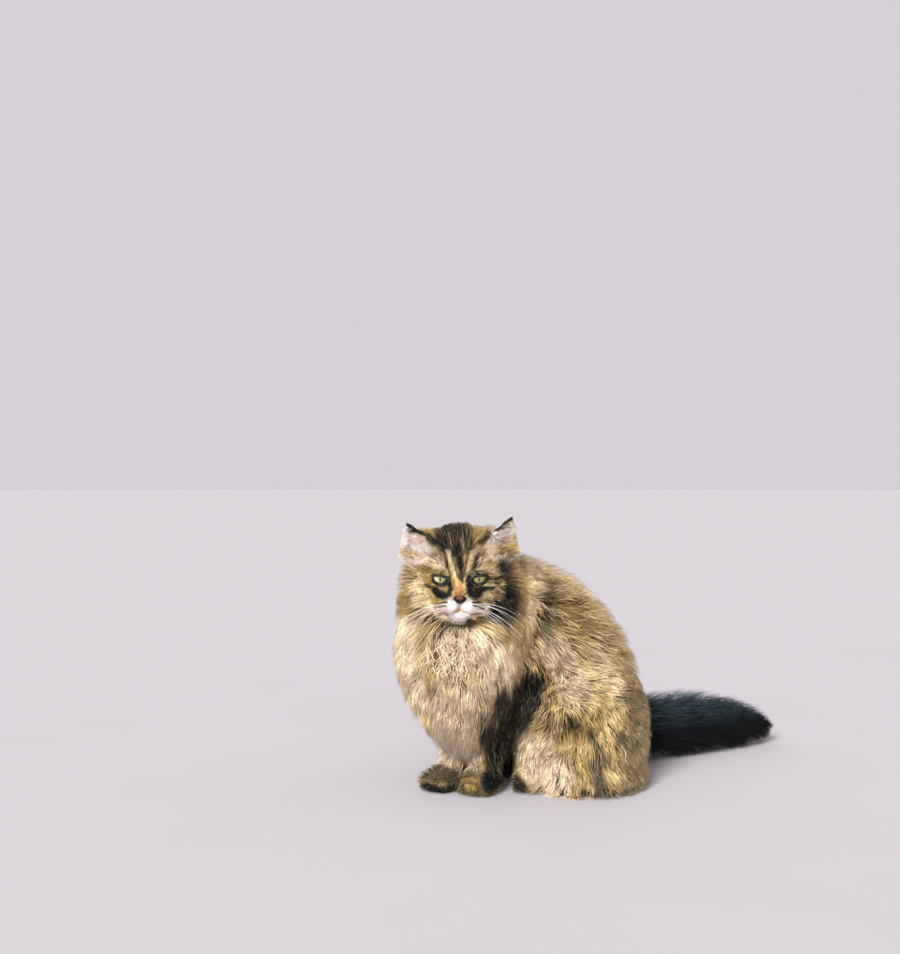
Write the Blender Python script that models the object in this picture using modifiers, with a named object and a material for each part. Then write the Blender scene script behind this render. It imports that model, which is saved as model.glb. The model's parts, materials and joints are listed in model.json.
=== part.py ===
"""A seated long-haired Persian cat, life size, modelled to the tips of its coat.

The body is raised as one form from rounded masses laid along the cat's own
build, closed over by a fine skin, thinned, flattened where it rests on the
ground, and then parted by thin cuts into the head, ears, neck, trunk, legs,
paws and lengths of tail. Eyes and nose leather are pieces of their own.

Metres, +Z up. The face looks along -Y and the body turns away behind it.
Left and right are the cat's own.
"""

import math

import bmesh
import bpy
from mathutils import Matrix, Vector

COLLECTION = "persian_cat"

# The whole cat
GROUND_CENTRE = Vector((0.2203, 0.1495, 0.0))
BODY_YAW = math.radians(52)
FORELEGS_MIDDLE = Vector((0.030, 0.066, 0.0))
HEAD_CENTRE = Vector((0.0125, 0.0, 0.304))
GAP = 0.0004

# The closing skin, and how the face is spared when it is thinned
VOXEL = 0.0042
SMOOTH_TURNS = 3
BODY_TRIANGLES = 3600
FACE_MIDDLE = Vector((0.0, -0.050, -0.010))
FACE_REACH = 0.12
FACE_LEAST = 0.35
FACE_CARE = 0.012

# Head: middle and half sizes of each mass, from the head's centre
SKULL = (Vector((0.0, 0.012, 0.008)), (0.074, 0.062, 0.056))
FOREHEAD = (Vector((0.0, -0.010, 0.033)), (0.050, 0.042, 0.036))
FACE = (Vector((0.0, -0.014, -0.012)), (0.060, 0.036, 0.042))
NOSE_BRIDGE = (Vector((0.0, -0.034, -0.012)), (0.016, 0.022, 0.028))
CHIN = (Vector((0.0, -0.040, -0.052)), (0.017, 0.017, 0.014))

# Head masses that come in pairs, on the cat's left
CHEEK_FUR = (Vector((0.056, 0.008, -0.014)), (0.034, 0.044, 0.046))
JOWL_FUR = (Vector((0.046, -0.006, -0.038)), (0.030, 0.034, 0.032))
WHISKER_PAD = (Vector((0.0115, -0.046, -0.041)), (0.0155, 0.016, 0.0135))
BROW = (Vector((0.026, -0.030, 0.010)), (0.018, 0.015, 0.010))
CHEEK = (Vector((0.034, -0.026, -0.024)), (0.022, 0.020, 0.017))
EAR_ROOT_FUR = (Vector((0.043, 0.014, 0.044)), (0.020, 0.018, 0.021))

# Eyes and nose leather
EYE_APART = 0.0504
EYE_HEIGHT = -0.0055
EYE_DEPTH = -0.0405
EYE_RADIUS = 0.0105
LID_HALF_SIZE = (0.0088, 0.013, 0.0056)
LID_FORWARD = 0.004
NOSE_CENTRE = Vector((0.0, -0.0580, -0.0300))
NOSE_SIZE = Vector((0.0098, 0.0068, 0.0060))

# Ears: base towards the crown, outer base and tip, for the cat's left ear
EAR_INNER_BASE = Vector((0.030, 0.010, 0.038))
EAR_OUTER_BASE = Vector((0.076, 0.014, 0.022))
EAR_TIP = Vector((0.070, 0.006, 0.073))
RIGHT_EAR_DROP = 0.008
EAR_CUP = 0.010
EAR_THICKNESS = (0.0085, 0.0062, 0.0036)
EAR_PARTING = 0.22
EAR_REGION = (0.034, 0.030, 0.030)
EAR_HOLLOW_UP = 0.28
EAR_HOLLOW_OUT = 0.002
EAR_HOLLOW_FORWARD = 0.012
EAR_HOLLOW_SIZE = (0.014, 0.020, 0.012)

# Runs of the body: back from the forelegs, to the left, up, and the coat's radius
SPINE = (
    (-0.010, 0.010, 0.260, 0.074),
    (0.040, 0.006, 0.240, 0.090),
    (0.090, 0.004, 0.208, 0.112),
    (0.135, 0.002, 0.162, 0.124),
    (0.166, 0.000, 0.112, 0.124),
    (0.176, 0.000, 0.070, 0.108),
)
CHEST = (
    (-0.046, 0.024, 0.232, 0.087),
    (-0.044, 0.022, 0.196, 0.091),
    (-0.036, 0.018, 0.158, 0.083),
    (-0.024, 0.010, 0.122, 0.064),
)
LEFT_FORELEG = (
    (0.020, 0.030, 0.135, 0.041),
    (0.014, 0.024, 0.085, 0.032),
    (0.010, 0.021, 0.045, 0.027),
    (0.004, 0.022, 0.022, 0.024),
)
RIGHT_FORELEG = (
    (0.004, -0.030, 0.135, 0.041),
    (-0.004, -0.024, 0.085, 0.032),
    (-0.010, -0.021, 0.045, 0.026),
    (-0.018, -0.020, 0.022, 0.023),
)

# Throat, from the head's centre, and belly, along the body
THROAT = Vector((0.004, 0.034, -0.052))
THROAT_SIZE = (0.090, 0.066, 0.056)
BELLY = (0.070, 0.0, 0.114)
BELLY_SIZE = (0.070, 0.085, 0.070)

# Forepaws: back, left and the way the toes point
LEFT_FOREPAW = (-0.0066, 0.0279, math.radians(34))
RIGHT_FOREPAW = (-0.0345, -0.0183, math.radians(50))
FOREPAW_HEIGHT = 0.011
FOREPAW_SIZE = Vector((0.0265, 0.0330, 0.0250))
TOE_SIZE = (0.0078, 0.0125, 0.0125)
TOE_SPACING = 0.0120
TOE_REACH = 0.0235
TOE_ARC = 0.0042
TOE_RISE = 0.0005

# Hind legs
HAUNCH_BACK = 0.135
HAUNCH_OUT = 0.0780
HAUNCH_SIZE = (0.088, 0.108, 0.098)
HAUNCH_HEIGHT = 0.090
THIGH_SIZE = (0.094, 0.106, 0.070)
THIGH_HEIGHT = 0.058
SKIRT_SIZE = (0.095, 0.098, 0.066)
SKIRT_HEIGHT = 0.020
HIND_TOE_BACK = 0.040
HIND_TOE_HEIGHT = 0.014
HIND_PAW_OUT = 0.0660
HIND_PAW_LENGTH = 0.085
HEEL_OUT = 0.012
HEEL_HEIGHT = 0.018
HIND_PAW_RADII = (0.0185, 0.020, 0.026)

# Tail on the ground, from its root to its tip, with the plume's radius
TAIL = (
    (0.200, 0.200, 0.062, 0.050),
    (0.262, 0.226, 0.052, 0.052),
    (0.330, 0.256, 0.050, 0.054),
    (0.400, 0.292, 0.047, 0.050),
    (0.455, 0.322, 0.038, 0.040),
    (0.498, 0.344, 0.026, 0.025),
)

# Coarse locks of the outer coat
LOCK_STEPS = 7
LOCK_TAPER = 0.72
RUFF_LOCKS = 9
RUFF_FROM = math.radians(-168)
RUFF_SWEEP = math.radians(152)
RUFF_REACH = 0.088
RUFF_WAVER = 0.006
RUFF_HEIGHT = 0.074
SKIRT_LOCKS = 7
SKIRT_FROM = 0.060
SKIRT_LENGTH = 0.150
SKIRT_OUT = 0.130
SKIRT_BULGE = 0.036
BIB_LOCKS = 6

# Thin cuts that part the whole
UNDER_CHIN = Vector((0.0, -0.045, -0.084))
HEAD_RISE = Vector((-0.07, -0.70, 0.68))
HEAD_REGION = (0.3, 0.3, 0.2)
UNDER_BIB = Vector((-0.010, -0.060, 0.135))
NECK_RISE = Vector((-0.35, -0.60, 0.72))
NECK_REGION = (0.4, 0.4, 0.2)
TAIL_SPLIT = 3
TAIL_ROOT_PAST = Vector((0.030, 0.012, 0.0))
TAIL_ROOT_WAY = Vector((1.0, 0.42, 0.0))
TAIL_REGION = (0.2, 0.2, 0.2)
FOREPAW_TOP = 0.040
FORELEG_TOP = 0.118
FORELEG_PARTING = Vector((0.023, 0.0575, 0.0))
FORELEG_PARTING_YAW = math.radians(23)
FOREPAW_REGION = {"left": 0.056, "right": -0.090}
FOREPAW_REGION_DEPTH = 0.056
FORELEG_REGION = {"left": 0.060, "right": -0.090}
FORELEG_REGION_DEPTH = 0.060
HIND_PAW_REGION = (0.0265, 0.030, 0.028)
HAUNCH_REGION = (0.096, 0.150, 0.122)
HAUNCH_REGION_OUT = 0.120
HAUNCH_REGION_HEIGHT = 0.074

# Colours
GOLDEN = (0.50, 0.33, 0.16)
PALE_GOLD = (0.66, 0.50, 0.32)
TAIL_BLACK = (0.018, 0.020, 0.024)
PAW_BROWN = (0.10, 0.075, 0.05)
NOSE_BRICK = (0.30, 0.11, 0.05)
EYE_GREEN = (0.38, 0.40, 0.12)

SIDES = (("left", 1), ("right", -1))


def along_body(back, left, up):
    """A point given along the body's own length, side and height."""
    backward = Vector((math.sin(BODY_YAW), math.cos(BODY_YAW), 0.0))
    sideways = Vector((math.cos(BODY_YAW), -math.sin(BODY_YAW), 0.0))
    return FORELEGS_MIDDLE + backward * back + sideways * left + Vector((0.0, 0.0, up))


def on_head(point, side=1):
    """A point given from the head's centre, mirrored for the cat's right."""
    return HEAD_CENTRE + Vector((side * point.x, point.y, point.z))


def through(points, share):
    """A smooth curve through rows of numbers, read at a share of its length."""
    last = len(points) - 1
    place = min(share * last, last - 1e-6)
    first = int(place)
    t = place - first
    p0 = points[max(first - 1, 0)]
    p1 = points[first]
    p2 = points[first + 1]
    p3 = points[min(first + 2, last)]
    row = []
    for a, b, c, d in zip(p0, p1, p2, p3):
        bend = (2 * a - 5 * b + 4 * c - d) * t * t + (3 * b - a - 3 * c + d) * t ** 3
        row.append(0.5 * (2 * b + (c - a) * t + bend))
    return row


def unit_ball():
    """The rounded mass that every other is a stretched copy of."""
    shape = bmesh.new()
    bmesh.ops.create_icosphere(shape, subdivisions=3, radius=1.0)
    mesh = bpy.data.meshes.new("unit_ball")
    shape.to_mesh(mesh)
    shape.free()


def add_mass(form, centre, size, turn=0.0):
    """One rounded mass of the coat."""
    ball = bpy.data.meshes["unit_ball"].copy()
    place = Matrix.Translation(centre) @ Matrix.Rotation(turn, 4, "Z")
    ball.transform(place @ Matrix.Diagonal((*size, 1.0)))
    form.from_mesh(ball)
    bpy.data.meshes.remove(ball)


def add_ball(form, centre, radius):
    add_mass(form, centre, (radius, radius, radius))


def add_run(form, points, steps):
    """A run of balls along a smooth curve: points are (x, y, z, radius)."""
    for step in range(steps + 1):
        x, y, z, radius = through(points, step / steps)
        add_ball(form, Vector((x, y, z)), radius)


def add_lock(form, root, tip, thickness, hang=0.0):
    """A tapered lock of the outer coat, from inside it to its tip."""
    for step in range(LOCK_STEPS + 1):
        share = step / LOCK_STEPS
        centre = root.lerp(tip, share) - Vector((0.0, 0.0, hang * share * share))
        add_ball(form, centre, thickness * (1.0 - LOCK_TAPER * share))


def add_head(form):
    """Skull, cheeks, short muzzle and chin, under the short coat of the face."""
    for middle, size in (SKULL, FOREHEAD, FACE, NOSE_BRIDGE, CHIN):
        add_mass(form, on_head(middle), size)
    for middle, size in (CHEEK_FUR, JOWL_FUR, WHISKER_PAD, BROW, CHEEK, EAR_ROOT_FUR):
        for _, side in SIDES:
            add_mass(form, on_head(middle, side), size)


def ear_corners(side):
    """The ear's inner base, outer base and tip."""
    drop = Vector((0.0, 0.0, RIGHT_EAR_DROP if side < 0 else 0.0))
    inner = on_head(EAR_INNER_BASE, side)
    outer = on_head(EAR_OUTER_BASE, side)
    return inner, outer, on_head(EAR_TIP, side) - drop


def add_ear(form, side):
    """The ear's blade: a fan of runs from its base to its tip."""
    inner, outer, tip = ear_corners(side)
    at_base, at_middle, at_tip = EAR_THICKNESS
    for share in (0.0, 0.25, 0.5, 0.75, 1.0):
        cup = Vector((0.0, EAR_CUP * math.sin(math.pi * share), 0.0))
        base = inner.lerp(outer, share) + cup
        run = [(*base, at_base), (*base.lerp(tip, 0.5), at_middle), (*tip, at_tip)]
        add_run(form, run, 10)


def body_run(rows):
    """Turns rows of back, left, up and radius into places and radii."""
    return [(*along_body(back, left, up), radius) for back, left, up, radius in rows]


def add_trunk(form):
    """Neck, back and belly along the spine, and the deep bib of the chest."""
    add_run(form, body_run(SPINE), 18)
    add_run(form, body_run(CHEST), 12)
    add_mass(form, HEAD_CENTRE + THROAT, THROAT_SIZE)
    add_mass(form, along_body(*BELLY), BELLY_SIZE, turn=-BODY_YAW)


def add_foreleg(form, leg, paw):
    """A foreleg down to a broad paw with four toes."""
    add_run(form, body_run(leg), 12)
    back, left, yaw = paw
    centre = along_body(back, left, FOREPAW_HEIGHT)
    add_mass(form, centre, FOREPAW_SIZE, turn=-yaw)
    turn = Matrix.Rotation(-yaw, 3, "Z")
    for toe in (-1.5, -0.5, 0.5, 1.5):
        reach = Vector((TOE_SPACING * toe, -TOE_REACH + TOE_ARC * abs(toe), TOE_RISE))
        add_mass(form, centre + turn @ reach, TOE_SIZE, turn=-yaw)


def add_hind_leg(form, side):
    """Haunch, thigh and the skirt of coat over them, and the long hind paw."""
    for height, size in (
        (HAUNCH_HEIGHT, HAUNCH_SIZE),
        (THIGH_HEIGHT, THIGH_SIZE),
        (SKIRT_HEIGHT, SKIRT_SIZE),
    ):
        middle = along_body(HAUNCH_BACK, side * HAUNCH_OUT, height)
        add_mass(form, middle, size, turn=-BODY_YAW)
    toe = along_body(HIND_TOE_BACK, side * HIND_PAW_OUT, HIND_TOE_HEIGHT)
    heel_out = side * (HIND_PAW_OUT + HEEL_OUT)
    heel = along_body(HIND_TOE_BACK + HIND_PAW_LENGTH, heel_out, HEEL_HEIGHT)
    at_toe, at_middle, at_heel = HIND_PAW_RADII
    add_run(form, [(*toe, at_toe), (*toe.lerp(heel, 0.5), at_middle), (*heel, at_heel)], 8)


def add_tail(form):
    add_run(form, TAIL, 26)


def add_ruff_locks(form):
    """Locks that hang round the head, from one ear under the chin to the other."""
    for lock in range(RUFF_LOCKS):
        angle = RUFF_FROM + RUFF_SWEEP * lock / (RUFF_LOCKS - 1)
        reach = RUFF_REACH + RUFF_WAVER * math.sin(5.0 * lock)
        out = Vector((reach * math.cos(angle), 0.0, RUFF_HEIGHT * math.sin(angle) - 0.004))
        root = HEAD_CENTRE + out * 0.70 + Vector((0.0, 0.010, 0.0))
        add_lock(form, root, HEAD_CENTRE + out, 0.015, hang=0.006)


def add_skirt_locks(form, side):
    """Locks that fall over the haunch to the ground."""
    for lock in range(SKIRT_LOCKS):
        share = lock / (SKIRT_LOCKS - 1)
        back = SKIRT_FROM + SKIRT_LENGTH * share
        out = side * (SKIRT_OUT + SKIRT_BULGE * math.sin(math.pi * share))
        root = along_body(back, out - side * 0.024, 0.058)
        tip = along_body(back - 0.010, out + side * 0.004 * math.sin(7.0 * lock), 0.006)
        add_lock(form, root, tip, 0.020)


def add_bib_locks(form):
    """The ragged lower edge of the bib, over the forelegs."""
    for lock in range(BIB_LOCKS):
        share = lock / (BIB_LOCKS - 1)
        root = along_body(-0.066 + 0.020 * share, 0.050 - 0.085 * share, 0.130)
        fall = Vector((0.0, 0.0, -0.030 - 0.008 * math.sin(4.0 * lock)))
        add_lock(form, root, root + fall, 0.018)


def raise_form():
    """The whole cat as one closed mesh, flat where it touches the ground."""
    form = bmesh.new()
    add_head(form)
    add_trunk(form)
    add_tail(form)
    add_ruff_locks(form)
    add_bib_locks(form)
    add_foreleg(form, LEFT_FORELEG, LEFT_FOREPAW)
    add_foreleg(form, RIGHT_FORELEG, RIGHT_FOREPAW)
    for _, side in SIDES:
        add_skirt_locks(form, side)
        add_ear(form, side)
        add_hind_leg(form, side)
    mesh = bpy.data.meshes.new("whole_coat")
    form.to_mesh(mesh)
    form.free()
    whole = bpy.data.objects.new("whole_coat", mesh)
    bpy.context.scene.collection.objects.link(whole)
    close_over(whole)
    thin_out(whole)
    ground = make_box("ground", Vector((0.2, 0.1, -0.5)), (2.0, 2.0, 0.5))
    cut(whole, ground)
    return whole


def close_over(whole):
    """Joins the masses under one smooth closed skin."""
    close = whole.modifiers.new("close", "REMESH")
    close.mode = "VOXEL"
    close.voxel_size = VOXEL
    soften = whole.modifiers.new("soften", "SMOOTH")
    soften.factor = 0.5
    soften.iterations = SMOOTH_TURNS
    settle(whole)


def thin_out(whole):
    """Leaves out triangles, fewest in the face."""
    spare = whole.vertex_groups.new(name="away_from_face")
    for vertex in whole.data.vertices:
        away = (vertex.co - HEAD_CENTRE - FACE_MIDDLE).length / FACE_REACH
        weight = min(1.0, FACE_LEAST + (1.0 - FACE_LEAST) * away ** 3)
        spare.add([vertex.index], weight, "REPLACE")
    thin = whole.modifiers.new("thin", "DECIMATE")
    thin.ratio = BODY_TRIANGLES / (2 * len(whole.data.polygons))
    thin.vertex_group = spare.name
    thin.vertex_group_factor = FACE_CARE
    settle(whole)


def settle(piece):
    """Makes a piece's mesh what its modifiers make of it."""
    graph = bpy.context.evaluated_depsgraph_get()
    made = bpy.data.meshes.new_from_object(piece.evaluated_get(graph))
    piece.modifiers.clear()
    spent = piece.data
    piece.data = made
    bpy.data.meshes.remove(spent)


def make_cutter(name, shape):
    """A cutter from a shape, kept out of the way of the model."""
    mesh = bpy.data.meshes.new(name)
    shape.to_mesh(mesh)
    shape.free()
    cutter = bpy.data.objects.new(name, mesh)
    cutter.hide_render = True
    cutter.display_type = "WIRE"
    bpy.data.collections["cutters"].objects.link(cutter)
    return cutter


def make_box(name, centre, half, turn=Matrix.Identity(4)):
    """A box by its centre and half sizes."""
    shape = bmesh.new()
    place = Matrix.Translation(centre) @ turn @ Matrix.Diagonal((*[2 * h for h in half], 1.0))
    bmesh.ops.create_cube(shape, size=1.0, matrix=place)
    return make_cutter(name, shape)


def make_egg(name, centre, half, turn=Matrix.Identity(4), sides=20):
    """An egg-shaped cutter by its centre and half sizes."""
    shape = bmesh.new()
    place = Matrix.Translation(centre) @ turn @ Matrix.Diagonal((*half, 1.0))
    bmesh.ops.create_uvsphere(shape, u_segments=sides, v_segments=sides // 2, radius=1.0, matrix=place)
    return make_cutter(name, shape)


def cut(piece, cutter, operation="DIFFERENCE"):
    """Cuts with the solver for closed meshes: the exact one loses the many-sided coat."""
    boolean = piece.modifiers.new("cut", "BOOLEAN")
    boolean.solver = "MANIFOLD"
    boolean.object = cutter
    boolean.operation = operation
    bpy.context.view_layer.update()
    settle(piece)


def island_of(start):
    """Every vertex that edges join to this one."""
    found = {start}
    to_visit = [start]
    while to_visit:
        vertex = to_visit.pop()
        for edge in vertex.link_edges:
            other = edge.other_vert(vertex)
            if other not in found:
                found.add(other)
                to_visit.append(other)
    return found


def drop_crumbs(piece):
    """Keeps the one main body of a piece, without chips cut from a neighbour."""
    shape = bmesh.new()
    shape.from_mesh(piece.data)
    left = set(shape.verts)
    islands = []
    while left:
        island = island_of(next(iter(left)))
        islands.append(island)
        left -= island
    main_body = max(islands, key=len)
    crumbs = [vertex for vertex in shape.verts if vertex not in main_body]
    bmesh.ops.delete(shape, geom=crumbs, context="VERTS")
    shape.to_mesh(piece.data)
    shape.free()


def take(whole, name, make, centre, half, turn=Matrix.Identity(4)):
    """Parts off what lies in a region, leaving a thin gap round it."""
    piece = bpy.data.objects.new(name, whole.data.copy())
    bpy.data.collections[COLLECTION].objects.link(piece)
    inside = make(name + "_region", centre, half, turn)
    cut(piece, inside, "INTERSECT")
    beyond = make(name + "_clear", centre, [h + GAP for h in half], turn)
    cut(whole, beyond)
    drop_crumbs(piece)
    drop_crumbs(whole)
    return piece


def facing(direction):
    """A turn whose local Z looks along a direction."""
    return direction.to_track_quat("Z", "Y").to_matrix().to_4x4()


def take_beyond(whole, name, point, direction, half):
    """Parts off what lies beyond a plane, out to a box's reach."""
    aim = direction.normalized()
    return take(whole, name, make_box, point + aim * half[2], half, facing(aim))


def colour_piece(piece, colour, roughness=0.9):
    material = bpy.data.materials.new(piece.name)
    material.use_nodes = True
    shader = material.node_tree.nodes["Principled BSDF"]
    shader.inputs["Base Color"].default_value = (*colour, 1.0)
    shader.inputs["Roughness"].default_value = roughness
    shader.inputs["Metallic"].default_value = 0.0
    piece.data.materials.clear()
    piece.data.materials.append(material)


def part_ears(whole):
    """Each ear comes off at its base and is hollowed in front."""
    for name, side in SIDES:
        inner, outer, tip = ear_corners(side)
        middle = (inner + outer) / 2
        base = middle.lerp(tip, EAR_PARTING)
        along = (outer - inner).normalized()
        rise = (tip - base - along * (tip - base).dot(along)).normalized()
        ear = take_beyond(whole, "ear_" + name, base, rise, EAR_REGION)
        forward = Vector((0.0, -EAR_HOLLOW_FORWARD, 0.0))
        hollow_at = base.lerp(tip, EAR_HOLLOW_UP) + along * EAR_HOLLOW_OUT + forward
        hollow = make_egg("ear_hollow_" + name, hollow_at, EAR_HOLLOW_SIZE, facing(rise), sides=16)
        cut(ear, hollow)
        colour_piece(ear, PALE_GOLD)


def make_ball_piece(name, centre, size, sides):
    """A rounded piece of its own, such as an eyeball."""
    shape = bmesh.new()
    place = Matrix.Translation(centre) @ Matrix.Diagonal((*size, 1.0))
    bmesh.ops.create_uvsphere(shape, u_segments=sides, v_segments=sides // 2, radius=1.0, matrix=place)
    mesh = bpy.data.meshes.new(name)
    shape.to_mesh(mesh)
    shape.free()
    mesh.shade_smooth()
    piece = bpy.data.objects.new(name, mesh)
    bpy.data.collections[COLLECTION].objects.link(piece)
    return piece


def part_eyes(whole):
    """Eyeballs in sockets that open between the lids."""
    for name, side in SIDES:
        centre = on_head(Vector((EYE_APART / 2, EYE_DEPTH + EYE_RADIUS, EYE_HEIGHT)), side)
        cut(whole, make_egg("eye_socket_" + name, centre, [EYE_RADIUS + GAP] * 3))
        between_lids = centre + Vector((0.0, -EYE_RADIUS - LID_FORWARD, 0.0))
        cut(whole, make_egg("lid_opening_" + name, between_lids, LID_HALF_SIZE, sides=16))
        eye = make_ball_piece("eye_" + name, centre, [EYE_RADIUS] * 3, 20)
        colour_piece(eye, EYE_GREEN, 0.1)


def part_nose(whole):
    """The nose leather, a wedge set into the top of the muzzle."""
    centre = on_head(NOSE_CENTRE)
    cut(whole, make_egg("nose_seat", centre, [size + GAP for size in NOSE_SIZE], sides=16))
    nose = make_ball_piece("nose", centre, NOSE_SIZE, 16)
    colour_piece(nose, NOSE_BRICK, 0.5)


def part_head(whole):
    head = take_beyond(whole, "head", HEAD_CENTRE + UNDER_CHIN, HEAD_RISE, HEAD_REGION)
    colour_piece(head, GOLDEN)


def part_neck(whole):
    neck = take_beyond(whole, "neck", UNDER_BIB, NECK_RISE, NECK_REGION)
    colour_piece(neck, PALE_GOLD)


def part_tail(whole):
    """Two lengths of tail, the plume and the part by the rump."""
    middle = Vector(TAIL[TAIL_SPLIT][:3])
    onward = Vector(TAIL[TAIL_SPLIT + 1][:3]) - Vector(TAIL[TAIL_SPLIT - 1][:3])
    plume = take_beyond(whole, "tail_plume", middle, onward, TAIL_REGION)
    root = Vector(TAIL[1][:3]) + TAIL_ROOT_PAST
    first = take_beyond(whole, "tail_root", root, TAIL_ROOT_WAY, TAIL_REGION)
    colour_piece(plume, TAIL_BLACK)
    colour_piece(first, TAIL_BLACK)


def part_forelegs(whole):
    """Paws below a level cut, then the legs up to the brisket."""
    turn = Matrix.Rotation(-FORELEG_PARTING_YAW, 4, "Z")
    for name, reach in FOREPAW_REGION.items():
        middle = FORELEG_PARTING + turn @ Vector((reach / 2, -0.014, 0.0))
        half = (abs(reach) / 2, FOREPAW_REGION_DEPTH, FOREPAW_TOP)
        paw = take(whole, "front_paw_" + name, make_box, middle, half, turn)
        colour_piece(paw, PAW_BROWN)
    for name, reach in FORELEG_REGION.items():
        height = (FORELEG_TOP + FOREPAW_TOP) / 2
        middle = FORELEG_PARTING + turn @ Vector((reach / 2, -0.010, height))
        half = (abs(reach) / 2, FORELEG_REGION_DEPTH, (FORELEG_TOP - FOREPAW_TOP) / 2)
        leg = take(whole, "front_leg_" + name, make_box, middle, half, turn)
        colour_piece(leg, PALE_GOLD)


def part_hind_legs(whole):
    """The paw that shows before each haunch, then the haunch with its skirt of coat."""
    turn = Matrix.Rotation(-BODY_YAW, 4, "Z")
    for name, side in SIDES:
        centre = along_body(HIND_TOE_BACK - 0.004, side * (HIND_PAW_OUT + 0.0075), 0.012)
        paw = take(whole, "hind_paw_" + name, make_box, centre, HIND_PAW_REGION, turn)
        colour_piece(paw, PAW_BROWN)
    for name, side in SIDES:
        centre = along_body(HAUNCH_BACK, side * HAUNCH_REGION_OUT, HAUNCH_REGION_HEIGHT)
        haunch = take(whole, "hind_leg_" + name, make_egg, centre, HAUNCH_REGION, turn)
        colour_piece(haunch, PALE_GOLD)


def clear_scene():
    for thing in list(bpy.data.objects):
        bpy.data.objects.remove(thing, do_unlink=True)
    for name in (COLLECTION, "cutters"):
        bpy.context.scene.collection.children.link(bpy.data.collections.new(name))


def centre_over_ground():
    """Puts the origin on the ground under the middle of the whole cat."""
    for name in (COLLECTION, "cutters"):
        for piece in bpy.data.collections[name].objects:
            piece.data.transform(Matrix.Translation(-GROUND_CENTRE))


def main():
    clear_scene()
    unit_ball()
    whole = raise_form()
    part_ears(whole)
    part_eyes(whole)
    part_nose(whole)
    part_head(whole)
    part_tail(whole)
    part_hind_legs(whole)
    part_forelegs(whole)
    part_neck(whole)
    whole.name = "trunk"
    bpy.context.scene.collection.objects.unlink(whole)
    bpy.data.collections[COLLECTION].objects.link(whole)
    colour_piece(whole, GOLDEN)
    centre_over_ground()


main()
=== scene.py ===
"""The looks of a seated long-haired Persian cat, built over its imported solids.

A flesh-and-skin form lies inside the solids by the depth of the coat. The coat
is laid over it in thin tufts that leave the skin, turn along the lie of the fur
and end at the outline that the solids give, drawn together into locks. Eyes,
lids, nose leather and whiskers are pieces of their own.

Metres, +Z up. Left and right are the cat's own.
"""

import collections
import functools
import json
import math

import bmesh
import bpy
import numpy as np
from mathutils import Matrix, Vector
from mathutils.bvhtree import BVHTree
from mathutils.kdtree import KDTree

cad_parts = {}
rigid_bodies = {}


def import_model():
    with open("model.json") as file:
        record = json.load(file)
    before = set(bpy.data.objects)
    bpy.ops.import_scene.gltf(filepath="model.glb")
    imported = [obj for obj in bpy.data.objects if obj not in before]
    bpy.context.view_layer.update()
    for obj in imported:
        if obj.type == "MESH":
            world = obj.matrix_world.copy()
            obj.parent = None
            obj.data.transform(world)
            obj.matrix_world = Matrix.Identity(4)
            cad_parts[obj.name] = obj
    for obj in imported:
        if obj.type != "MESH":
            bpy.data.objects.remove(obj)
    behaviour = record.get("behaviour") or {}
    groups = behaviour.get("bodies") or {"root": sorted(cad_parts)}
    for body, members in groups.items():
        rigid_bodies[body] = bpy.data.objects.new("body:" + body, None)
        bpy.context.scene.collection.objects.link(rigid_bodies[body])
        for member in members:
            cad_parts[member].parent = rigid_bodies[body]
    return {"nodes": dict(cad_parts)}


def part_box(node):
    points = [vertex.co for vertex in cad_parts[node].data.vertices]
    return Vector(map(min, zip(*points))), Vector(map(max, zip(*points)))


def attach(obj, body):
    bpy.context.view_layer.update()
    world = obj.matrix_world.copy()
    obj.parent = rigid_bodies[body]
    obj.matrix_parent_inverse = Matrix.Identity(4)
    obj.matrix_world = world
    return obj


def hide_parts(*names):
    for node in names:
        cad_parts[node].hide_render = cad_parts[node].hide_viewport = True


bl_info = {
    "name": "Long-haired cat looks",
    "version": (1, 0, 0),
    "blender": (4, 5, 0),
    "location": "View3D > Sidebar > Cat",
    "description": "Skin, coat, face and stage of a seated long-haired cat",
    "category": "Object",
}

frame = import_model()


def middle_of(node):
    """The middle of a solid's box."""
    low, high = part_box(node)
    return (low + high) / 2


# Places that everything else is measured from
EYE = {1: middle_of("eye_left"), -1: middle_of("eye_right")}
EYE_RADIUS = (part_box("eye_left")[1].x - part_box("eye_left")[0].x) / 2
HEAD = (EYE[1] + EYE[-1]) / 2 + Vector((0.0, 0.030, 0.0055))
NOSE = middle_of("nose")
FORELEGS = HEAD + Vector((0.0175, 0.066, -0.304))
CAMERA = HEAD + Vector((-0.0125, -1.600, 0.126))
LENS = 45.4
PICTURE_SIZE = (900, 954)
PIXELS_PER_SLOPE = LENS / 36.0 * PICTURE_SIZE[1]
BODY_YAW = math.radians(52)
BACKWARD = Vector((math.sin(BODY_YAW), math.cos(BODY_YAW), 0.0))
LEFTWARD = Vector((math.cos(BODY_YAW), -math.sin(BODY_YAW), 0.0))
DOWN = Vector((0.0, 0.0, -1.0))
FLAT = np.array((1.0, 1.0, 0.0))
SIDES = (("left", 1), ("right", -1))
FLESH_NODES = [name for name in frame["nodes"] if name not in ("eye_left", "eye_right", "nose")]

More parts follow.
